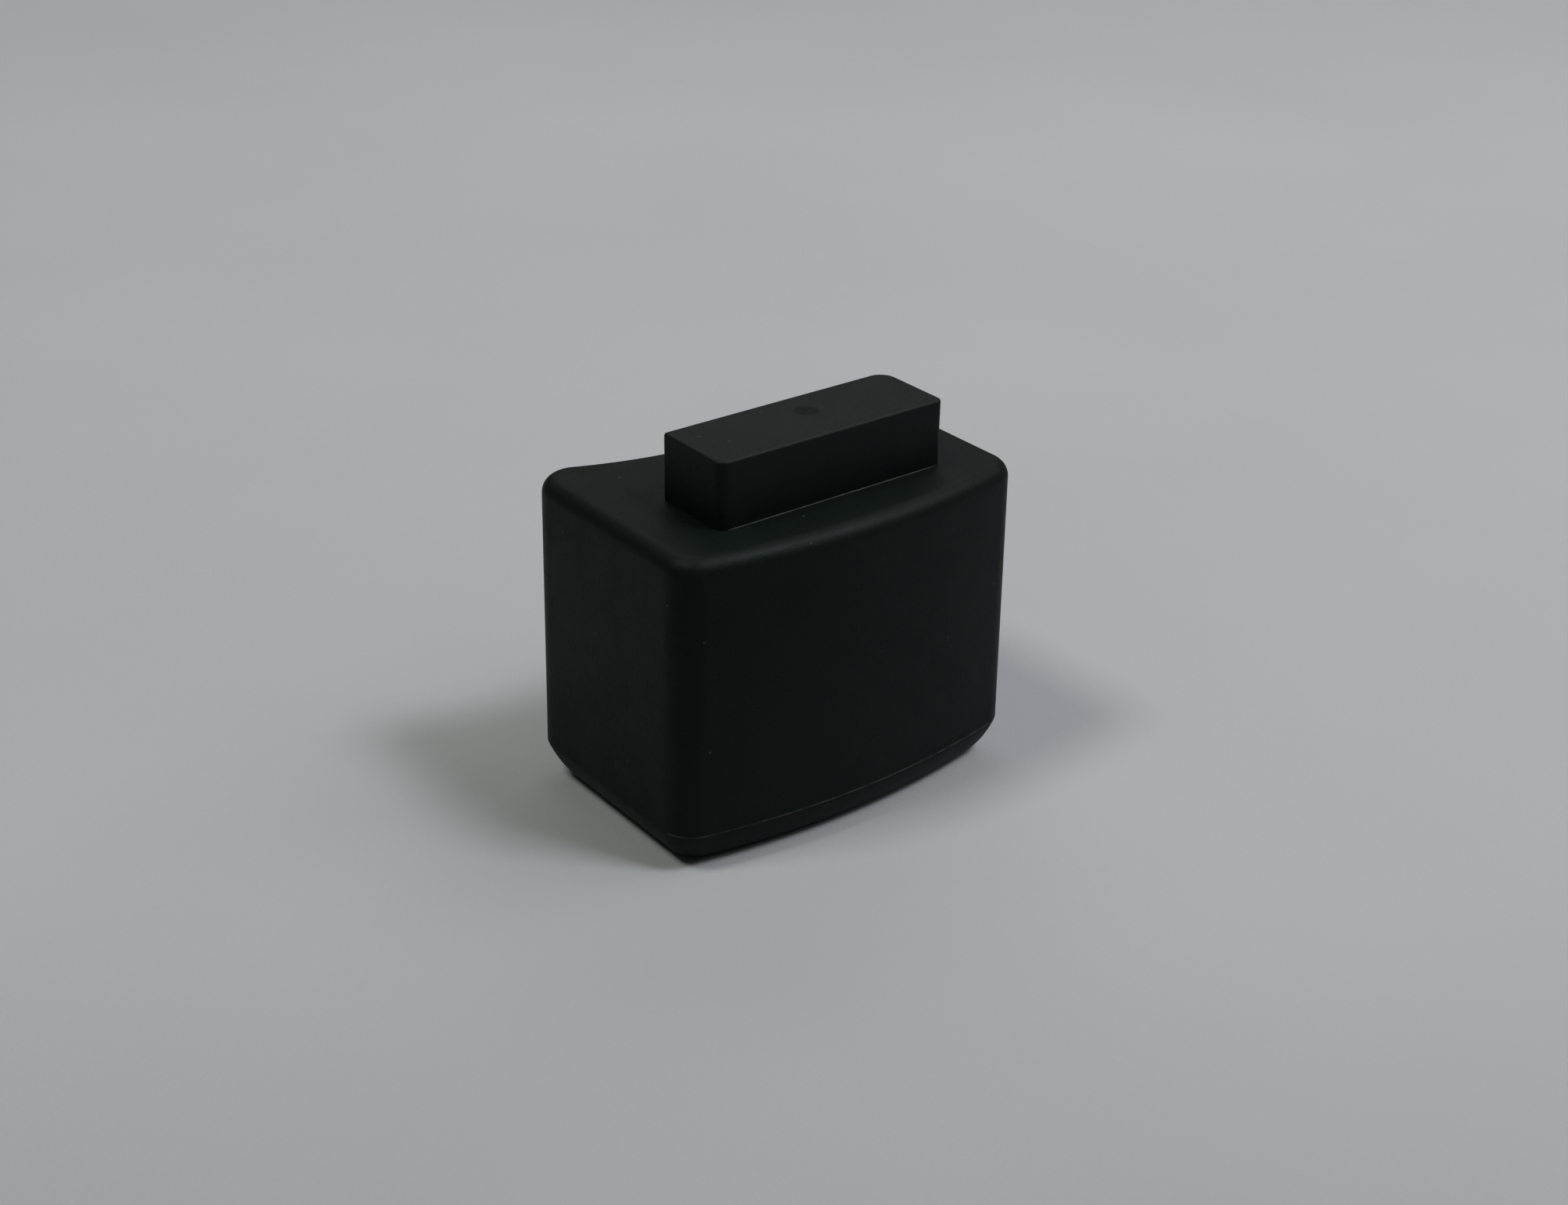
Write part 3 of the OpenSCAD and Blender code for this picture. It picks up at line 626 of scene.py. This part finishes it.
def panel_pocket():
    """Cutter for the pocket, with a small rounded mouth that follows the sloping end wall."""
    rings = [[(panel_low[0], panel_mid[1] + u, panel_mid[2] + v)
              for u, v in panel_outline(PANEL_GAP)]]
    for grow, out in POCKET_MOUTH:
        rings.append([(max(panel_low[0] + POCKET_LEAST, end_wall(panel_mid[2] + v) + out),
                       panel_mid[1] + u, panel_mid[2] + v)
                      for u, v in panel_outline(PANEL_GAP + grow)])
    return loft("pocket", rings)


def panel_opening():
    return loft("opening", [[(x, panel_mid[1] + u, panel_mid[2] + v)
                             for u, v in panel_outline(-PANEL_LEDGE)]
                            for x in (INNER_X - PAST, panel_low[0] + PAST / 2)])


dial_low, dial_high = node_box("channel_dial")
DIAL_X, DIAL_Z = ((dial_low[i] + dial_high[i]) / 2 for i in (0, 2))
WINDOW_R = 2.4
# (growth, distance past the back wall) of the dial's window, with its rounded mouth
WINDOW = ((0, -5), (0, -0.34), (0.03, -0.2), (0.12, -0.1), (0.28, -SKIN), (1.2, 0.9))


def back_wall(x):
    return MID_DEPTH + BACK_R - HALF_DEPTH - math.sqrt(BACK_R ** 2 - x ** 2)


def dial_window():
    rings = []
    for grow, out in WINDOW:
        circle = []
        for i in range(TURN_STEPS):
            a = 2 * math.pi * i / TURN_STEPS
            x = DIAL_X + (WINDOW_R + grow) * math.sin(a)
            circle.append((x, back_wall(x) + out, DIAL_Z + (WINDOW_R + grow) * math.cos(a)))
        rings.append(circle)
    return loft("window", rings)


POSTS = ((17.5, -9.9), (17.5, 10.4))
POST_R, POST_TOP, POST_GAP = 2.1, 16, 0.1
PILOT_R, PILOT_TOP = 0.85, 13
RIB_T, RIB_LOW, RIB_INTO_WALL = 2, 3.5, 0.6
SMALL_PILOT_R, SMALL_PILOT_ROOF = 0.7, 1.4
SLOT_GROW = -0.01
HOOK_Y, HOOK_Z, HOOK_REACH = (-6, 6), 6.8, 1
HOOK_W, HOOK_H, HOOK_INTO_WALL = 4, 1, 0.5
CATCH_W, CATCH_H, CATCH_INTO_WALL = 4.2, 1.2, 0.6

housing = loft("housing_skin", housing_rings())
for px, py in POSTS:
    post = turned("post", [(POST_R, SEAM_Z + POST_GAP), (POST_R, POST_TOP)], along_z(px, py, 0))
    rib = block((px, INNER_X + RIB_INTO_WALL), around(py, RIB_T), (SEAM_Z + RIB_LOW, POST_TOP))
    combine(housing, [post, rib], "UNION")
cutters = [panel_pocket(), panel_opening(), dial_window(),
           loft("slot", [tongue_ring(SLOT_GROW, z) for z in (SHOULDER_Z - PAST, BODY_H + PAST)])]
cutters += [turned("pilot", [(PILOT_R, 0), (PILOT_R, PILOT_TOP)], along_z(px, py, 0))
            for px, py in POSTS]
cutters += [turned("pilot", [(SMALL_PILOT_R, SHOULDER_Z - PAST),
                             (SMALL_PILOT_R, BODY_H - SMALL_PILOT_ROOF)],
                   along_z(side * TONGUE_SCREW_X, tongue_y, 0)) for side in (-1, 1)]
cutters += [block((-INNER_X - CATCH_INTO_WALL, HOOK_REACH - INNER_X), around(y, CATCH_W),
                  around(HOOK_Z, CATCH_H)) for y in HOOK_Y]
combine(housing, cutters, "DIFFERENCE")
finished(housing, rubber["housing"], "housing", BODY, SHARP_SHELL)

# ---------------------------------------------------------------- tongue
TONGUE_ROUND, TONGUE_ROUND_LEVELS = 0.36, 7
TONGUE_WALL_LOW, TONGUE_WALL_LEVELS, TONGUE_SKIN = 0.6, 10, 0.01
NIBS = 0.16
TOP_Z = tongue_high[2] - 0.07  # room for the nibs under the CAD model's top
FLANGE_EASE, SHOULDER_GAP = 0.15, 0.05
# (inset, height over the roof) of the flash around the tongue's foot
FLARE = ((-0.05, 0.0), (-0.07, 0.03), (-0.05, 0.06), (0.0, 0.09), (0.01, 0.3))
# (inset, share of NIBS) of the tongue's top
TONGUE_TOP = ((0.5, 0.8), (0.62, 0.2), (0.8, 0), (1.3, 0))
# (radius, depth) of the gate mark, a shallow dish with a raised middle
GATE_DISH = ((2.3, 0), (1.6, 0), (1.5, 0.01), (1.38, 0.05), (1.2, 0.09), (0.9, 0.11),
             (0.5, 0.1), (0.35, 0.07), (0.2, 0.06))
TONGUE_HOLE_R = 0.8


def flange_ring(z, inset=0.0):
    outline = rounded(tongue_high[0] - tongue_low[0] - 2 * inset,
                      tongue_high[1] - tongue_low[1] - 2 * inset, [TONGUE_R] * 4, ROUND_STEPS,
                      TONGUE_CUTS)
    return [(tongue_x + u, tongue_y + v, z) for u, v in outline]


def tongue_rings():
    """From under the flange up the tongue, over its top and in to the gate mark."""
    rings = [flange_ring(FLANGE_Z, FLANGE_EASE), flange_ring(FLANGE_Z + FLANGE_EASE),
             flange_ring(SHOULDER_Z - SHOULDER_GAP), flange_ring(SHOULDER_Z, SHOULDER_GAP),
             tongue_ring(0, SHOULDER_Z), tongue_ring(0, BODY_H - 0.1)]
    for inset, z in FLARE:
        rings.append(flare_ring(inset, BODY_H + z))
    low, levels = BODY_H + TONGUE_WALL_LOW, TONGUE_WALL_LEVELS
    for i in range(levels + 1):
        rings.append(tongue_ring(TONGUE_SKIN, low + (TOP_Z - TONGUE_ROUND - low) * i / levels))
    levels = TONGUE_ROUND_LEVELS
    for i in range(1, levels + 1):
        a = math.radians(90 * i / levels)
        rings.append(tongue_ring(TONGUE_SKIN + TONGUE_ROUND * (1 - math.cos(a)),
                                 TOP_Z - TONGUE_ROUND * (1 - math.sin(a)), NIBS * i / levels))
    for inset, share in TONGUE_TOP:
        rings.append(tongue_ring(inset, TOP_Z, NIBS * share))
    for r, depth in GATE_DISH:
        rings.append(circle_ring(r, TOP_Z - depth, *GATE))
    return rings


tongue = loft("tongue_skin", tongue_rings())
holes = [turned("hole", [(TONGUE_HOLE_R, FLANGE_Z - PAST), (TONGUE_HOLE_R, SHOULDER_Z + PAST / 2)],
                along_z(side * TONGUE_SCREW_X, tongue_y, 0)) for side in (-1, 1)]
combine(tongue, holes, "DIFFERENCE")
finished(tongue, rubber["tongue"], "tongue", BODY, SHARP_TONGUE)

# ---------------------------------------------------------------- base cover and door
cell_low, cell_high = node_box("battery_cell")
CELL_Y, CELL_Z = ((cell_low[i] + cell_high[i]) / 2 for i in (1, 2))
BAY_X = node_box("positive_contact")[0][0]
BAY_END = node_box("negative_contact")[1][0]
BAY_R = (cell_high[1] - cell_low[1]) / 2 + 0.3
BAY_WALL = 1
BAY_TOP = CELL_Z + BAY_R + BAY_WALL
CONTACT_SLOT, CONTACT_W, CONTACT_TOP = 0.6, 11.8, 16.7
TAB_W, TAB_Y = 1.6, (3.6, -6.4)  # the soldered tabs of the positive and negative contact
DOOR_T, DOOR_RAIL, DOOR_RAIL_Z, DOOR_FIT, DOOR_LAP = 1.6, 0.8, 0.75, 0.15, 0.6
DOOR_X = (BAY_X - DOOR_LAP, BAY_END + DOOR_LAP)
DOOR_Y = node_box("battery_door")[0][1]
board_low, board_high = node_box("main_board")
BOARD_HOLES = ((-18.6, 6.5), (10.2, -8.5), (10.2, 6.5))
BOSS_R, BOSS_PILOT_R, BOSS_PILOT_LOW = 1.7, 0.7, 7
panel_board_low, panel_board_high = node_box("control_board")
RAIL_OUT, RAIL_T, BOARD_FIT = 0.9, 1.6, 0.05
CLEAR_GAP, CLEAR_H = 0.2, 5
# (radius, height) of the recess of a cover screw: its head, its eased mouth and its free hole
HEAD, MOUTH = [(1.9, -1), (1.9, 1.8)], [(2.4, -0.3), (2.05, 0.0), (1.9, 0.12)]
FREE_R, FREE_LOW = 1.05, 0.5
GRIPS, GRIP_PITCH, GRIP_L = 4, 1.6, 12
# (distance from the groove's middle, height) of one finger groove in the door
GRIP = ((-0.45, -0.2), (0.45, -0.2), (0.38, 0.1), (0.2, 0.34), (-0.2, 0.34), (-0.38, 0.1))


def lip_rings(uneven):
    """From the base up the lip to the seam."""
    rings = []
    for i in range(LIP_LEVELS, -1, -1):
        inset, z = lip(i / LIP_LEVELS)
        fade = uneven if 0 < i < LIP_LEVELS else 0
        rings.append(ring(max(inset, SKIN), z, fade, shrink=LIP_SHRINK))
    return rings


def base_rings():
    """Up the outside to the seam, over the rim inside the housing and down to the floor."""
    rim = ((RIM_OUT, SEAM_Z), (RIM_OUT, SEAM_Z + RIM_SIDE_H), (RIM_OUT + RIM_EASE, SEAM_Z + RIM_H),
           (RIM_IN, SEAM_Z + RIM_H), (RIM_IN, BASE_T))
    return lip_rings(UNEVEN) + [ring(inset, z, tapered=False) for inset, z in rim]


def door_space(fit):
    """Blocks that enclose the door and its rails, grown by fit."""
    return [block((DOOR_X[0] - fit, DOOR_X[1] + fit), (DOOR_Y - fit, FAR),
                  (-PAST, DOOR_T + fit / 2)),
            block((DOOR_X[0] - DOOR_RAIL - fit, DOOR_X[1] + DOOR_RAIL + fit),
                  (DOOR_Y - fit, FAR), (DOOR_RAIL_Z - fit / 2, DOOR_T + fit / 2))]


base = loft("base_skin", base_rings())
bay_wall = block((BAY_X - BAY_WALL, BAY_END + BAY_WALL), (board_low[1], board_high[1]),
                 (BASE_T - BITE, BAY_TOP))
bosses = [turned("boss", [(BOSS_R, BASE_T - BITE), (BOSS_R, board_low[2])], along_z(x, y, 0))
          for x, y in BOARD_HOLES]
pads = [turned("pad", [(POST_R, BASE_T - BITE), (POST_R, SEAM_Z)], along_z(x, y, 0))
        for x, y in POSTS]
rails = [block((panel_board_low[0] - RAIL_OUT, panel_board_high[0] + RAIL_OUT),
               around(y, RAIL_T), (BASE_T - BITE, SEAM_Z + RIM_H))
         for y in (panel_board_low[1], panel_board_high[1])]
hooks = [block((-INNER_X - HOOK_INTO_WALL, HOOK_REACH - INNER_X), around(y, HOOK_W),
               around(HOOK_Z, HOOK_H)) for y in HOOK_Y]
clearances = [turned("clear", [(POST_R + CLEAR_GAP, SEAM_Z), (POST_R + CLEAR_GAP, SEAM_Z + CLEAR_H)],
                     along_z(x, y, 0)) for x, y in POSTS]
combine(base, clearances, "DIFFERENCE")
combine(base, [bay_wall, *bosses, *pads, *rails, *hooks], "UNION")
hollows = [turned("cell", [(BAY_R, BAY_X), (BAY_R, BAY_END)], along_x(0, CELL_Y, CELL_Z),
                  BAY_STEPS),
           block((BAY_X, BAY_END), around(CELL_Y, 2 * BAY_R), (-PAST, CELL_Z))]
CONTACT_X = (BAY_X, BAY_END - CONTACT_SLOT)
hollows += [block((x, x + CONTACT_SLOT), around(CELL_Y, CONTACT_W), (0, CONTACT_TOP))
            for x in CONTACT_X]
hollows += [block((x, x + CONTACT_SLOT), around(y, TAB_W), (CELL_Z, FAR))
            for x, y in zip(CONTACT_X, TAB_Y)]
hollows += door_space(DOOR_FIT)
for x, y in POSTS:
    hollows.append(turned("head", HEAD, along_z(x, y, 0)))
    hollows.append(turned("mouth", MOUTH, along_z(x, y, 0)))
    hollows.append(turned("free", [(FREE_R, FREE_LOW), (FREE_R, FAR)], along_z(x, y, 0)))
hollows += [turned("hole", [(BOSS_PILOT_R, CELL_Z + BOSS_PILOT_LOW), (BOSS_PILOT_R, FAR)],
                   along_z(x, y, 0)) for x, y in BOARD_HOLES]
hollows.append(block((panel_board_low[0] - BOARD_FIT, panel_board_high[0] + BOARD_FIT),
                     (panel_board_low[1], panel_board_high[1]), (BASE_T, FAR)))
combine(base, hollows, "DIFFERENCE")
finished(base, rubber["base"], "base_cover", BODY, SHARP_SHELL)

door = loft("door_skin", lip_rings(UNEVEN))
keep, rail = door_space(0)
combine(keep, [rail], "UNION")
combine(door, [keep], "INTERSECT")
grips = []
for i in range(GRIPS):
    y = CELL_Y + BAY_R - GRIP_PITCH * i
    grips.append(loft("grip", [[(x, y + w, z) for w, z in GRIP]
                               for x in around((BAY_X + BAY_END) / 2, GRIP_L)]))
combine(door, grips, "DIFFERENCE")
finished(door, rubber["base"], "battery_door", "battery_door", SHARP_SHELL)

# ---------------------------------------------------------------- end panel
knob_low, knob_high = node_box("power_knob")
ROW_Y = (knob_low[1] + knob_high[1]) / 2
KNOB_Z, JACK_Z, BUTTON_Z, LIGHT_Z = ((low[2] + high[2]) / 2 for low, high in map(
    node_box, ("power_knob", "sync_jack", "test_button", "light_pipe")))
KNOB_W, KNOB_L, KNOB_TRAVEL, SLOT_GAP, SLOT_R = 2.6, 3, 2, 0.2, 0.35
HOLE_R, LIGHT_HOLE_R = 2.7, 1.4
HOLE_FLARE, LIGHT_FLARE = 0.18, 0.12
EASE_SHARE = 0.3  # where the middle point of an eased edge lies
PANEL_EDGE = 0.16


def mouth_hole(r, z, flare):
    """Cutter for a round hole through the panel with an eased front edge."""
    front, ease = panel_high[0], flare * EASE_SHARE
    return turned("hole", [(r, panel_low[0] - PAST), (r, front - flare), (r + ease, front - ease),
                           (r + flare, front), (r + flare + PAST / 2, front + PAST / 2)],
                  along_x(0, ROW_Y, z), FINE_TURN_STEPS)


def knob_slot():
    """Cutter for the knob's slot, which leaves room for its travel."""
    middle, rings = KNOB_Z + KNOB_TRAVEL / 2, []
    for x, grow in ((panel_low[0] - PAST, 0), (panel_high[0] - PANEL_EDGE, 0),
                    (panel_high[0], PANEL_EDGE), (panel_high[0] + PAST / 2, PANEL_EDGE + PAST / 2)):
        outline = rounded(KNOB_W + SLOT_GAP + 2 * grow,
                          KNOB_L + KNOB_TRAVEL + 2 * SLOT_GAP + 2 * grow, [SLOT_R + grow] * 4)
        rings.append([(x, ROW_Y + u, middle + v) for u, v in outline])
    return loft("knob_slot", rings)


EASE = PANEL_EDGE * EASE_SHARE
panel = loft("panel_skin", [
    [(x, panel_mid[1] + u, panel_mid[2] + v) for u, v in panel_outline(grow)]
    for x, grow in ((panel_low[0], 0), (panel_high[0] - PANEL_EDGE, 0),
                    (panel_high[0] - EASE, -EASE), (panel_high[0], -PANEL_EDGE),
                    (panel_high[0], -PANEL_EDGE * 3))])
combine(panel, [mouth_hole(HOLE_R, JACK_Z, HOLE_FLARE), mouth_hole(HOLE_R, BUTTON_Z, HOLE_FLARE),
                mouth_hole(LIGHT_HOLE_R, LIGHT_Z, LIGHT_FLARE), knob_slot()], "DIFFERENCE")
finished(panel, materials["panel_plastic"], "end_panel", BODY, SHARP_SHELL)

# ---------------------------------------------------------------- carried-over CAD nodes
BEVEL_STEPS, BEVEL_ANGLE = 3, 38
# width of each node's bevel, mm
EASED = {"power_knob": 0.16, "test_button": 0.28, "light_pipe": 0.22, "sync_jack": 0.12,
         "channel_dial": 0.14, "cover_screws": 0.1, "tongue_screws": 0.08, "board_screws": 0.08,
         "battery_cell": 0.35, "positive_contact": 0.06, "negative_contact": 0.06,
         "shield_can": 0.12, "microcontroller": 0.06, "crystal": 0.15,
         "reservoir_capacitor": 0.1, "trigger_thyristor": 0.1, "chip_components": 0.06,
         "channel_switch": 0.15, "pin_header": 0.05, "power_switch": 0.1, "test_switch": 0.1,
         "switch_plunger": 0.1, "main_board": 0.04, "control_board": 0.04,
         "radio_module": 0.04}
shown = {s["node"]: s["material_slot"] for s in frame["record"]["subparts"]}
for node, made in frame["nodes"].items():
    if made.hide_render:
        continue
    material = materials[shown[node]]
    made.data.materials.clear()
    made.data.materials.append(material)
    if node in EASED:
        bevel = made.modifiers.new("eased", "BEVEL")
        bevel.width = EASED[node] * MM
        bevel.segments = BEVEL_STEPS
        bevel.limit_method = "ANGLE"
        bevel.angle_limit = math.radians(BEVEL_ANGLE)
        bevel.use_clamp_overlap = True
        bevel.harden_normals = True

# ---------------------------------------------------------------- floor and light
FLOOR_DARK, FLOOR_LIGHT = (0.415, 0.430, 0.436), (0.435, 0.450, 0.455)
FLOOR_AWAY = (0.61, 0.79)  # the x and y of the direction away from the camera
# Painted shade: these factors darken the floor's colour towards the camera, down to 0.6 of it
# nearest
FLOOR_PAINTED_SHADE = [(0.0, (0.60, 0.60, 0.60)), (0.12, (0.78, 0.78, 0.78)),
                (0.25, (0.83, 0.83, 0.83)), (0.45, (0.91, 0.905, 0.905))]
FLOOR_NEAR, FLOOR_REST = -0.15, 0.85
FLOOR_Z = -0.00002
floor_shader = Shader("floor_paper")
tone = floor_shader.ramp(floor_shader.noise(9, 3), [(0.3, FLOOR_DARK), (0.7, FLOOR_LIGHT)])
floor_axes = floor_shader.node("ShaderNodeSeparateXYZ")
floor_shader.link(floor_shader.coords(), floor_axes.inputs["Vector"])
away = floor_shader.math(
    "ADD", floor_shader.math("MULTIPLY", floor_axes.outputs["X"], FLOOR_AWAY[0]),
    floor_shader.math("MULTIPLY", floor_axes.outputs["Y"], FLOOR_AWAY[1]))
painted_shade = floor_shader.ramp(floor_shader.span(away, FLOOR_NEAR, FLOOR_REST, 0, 1), FLOOR_PAINTED_SHADE)
# The painted shade is multiplied into the floor's colour
painted_shade_mix = floor_shader.node("ShaderNodeMix", data_type="RGBA", blend_type="MULTIPLY")
painted_shade_mix.inputs["Factor"].default_value = 1
tone_in = [k for k in painted_shade_mix.inputs if k.type == "RGBA"]
floor_shader.link(tone, tone_in[0])
floor_shader.link(painted_shade, tone_in[1])
tone = [k for k in painted_shade_mix.outputs if k.type == "RGBA"][0]
fibre = floor_shader.bump(floor_shader.noise(1900, 3), 0.00008, 0.5)
floor_shader.set(Base_Color=tone, Roughness=0.85, Normal=fibre, Specular_IOR_Level=0.2)

# Past FLOOR_FADE the floor thins out into the equally pale backdrop
FLOOR_HALF, FLOOR_FADE = 1.0, (0.36, 0.78)
reach = floor_shader.node("ShaderNodeVectorMath", operation="LENGTH")
floor_shader.link(floor_shader.coords(), reach.inputs[0])
thin = floor_shader.node("ShaderNodeMixShader")
clear = floor_shader.node("ShaderNodeBsdfTransparent")
floor_shader.link(floor_shader.span(reach.outputs["Value"], *FLOOR_FADE, 0, 1, smooth=True),
                  thin.inputs["Fac"])
floor_shader.link(floor_shader.principled.outputs["BSDF"], thin.inputs[1])
floor_shader.link(clear.outputs["BSDF"], thin.inputs[2])
floor_shader.link(thin.outputs["Shader"],
                  floor_shader.tree.nodes["Material Output"].inputs["Surface"])
floor_data = bpy.data.meshes.new("floor")
floor_data.from_pydata([(x * FLOOR_HALF, y * FLOOR_HALF, FLOOR_Z)
                        for x, y in ((-1, -1), (1, -1), (1, 1), (-1, 1))], [], [(0, 1, 2, 3)])
floor = bpy.data.objects.new("floor", floor_data)
floor_data.materials.append(floor_shader.material)
bpy.context.scene.collection.objects.link(floor)


LIGHT_AIM = Vector((0, 0, 0.02))


def softbox(name, azimuth, elevation, distance, size, power, colour=(1, 1, 1)):
    """An area light aimed at the object. Azimuth 0 is in front, and 90 at the right end."""
    a, e = math.radians(azimuth), math.radians(elevation)
    way = Vector((math.sin(a) * math.cos(e), -math.cos(a) * math.cos(e), math.sin(e)))
    data = bpy.data.lights.new(name, "AREA")
    data.shape = "RECTANGLE"
    data.size, data.size_y = size
    data.energy = power
    data.color = colour
    lamp = bpy.data.objects.new(name, data)
    bpy.context.scene.collection.objects.link(lamp)
    lamp.rotation_mode = "QUATERNION"
    lamp.rotation_quaternion = way.to_track_quat("Z", "Y")
    lamp.location = way * distance + LIGHT_AIM


softbox("right_light", 34, 58, 1.2, (0.26, 0.26), 6.6, (0.98, 0.97, 1.07))
softbox("left_light", -101.5, 63, 1.2, (0.26, 0.26), 6.0, (1.0, 1.02, 0.92))
softbox("back_fill", 142, 46, 1.3, (1.2, 0.6), 3.6, (0.95, 1.0, 1.02))
softbox("ceiling", 56, 50, 1.3, (0.9, 0.9), 6.0)
bpy.context.scene.view_settings.view_transform = "Standard"
world = bpy.data.worlds.new("room")
world.use_nodes = True
AMBIENT, AMBIENT_STRENGTH = (0.93, 0.97, 1.0, 1), 0.06
BACKDROP = (0.388, 0.405, 0.414, 1)  # what the camera sees past the floor
ambient = world.node_tree.nodes["Background"]
ambient.inputs["Color"].default_value = AMBIENT
ambient.inputs["Strength"].default_value = AMBIENT_STRENGTH
# Camera rays see the backdrop, and every other ray only the ambient light
backdrop = world.node_tree.nodes.new("ShaderNodeBackground")
backdrop.inputs["Color"].default_value = BACKDROP
seen = world.node_tree.nodes.new("ShaderNodeLightPath")
choice = world.node_tree.nodes.new("ShaderNodeMixShader")
world.node_tree.links.new(seen.outputs["Is Camera Ray"], choice.inputs["Fac"])
world.node_tree.links.new(ambient.outputs["Background"], choice.inputs[1])
world.node_tree.links.new(backdrop.outputs["Background"], choice.inputs[2])
world.node_tree.links.new(choice.outputs["Shader"],
                          world.node_tree.nodes["World Output"].inputs["Surface"])
bpy.context.scene.world = world
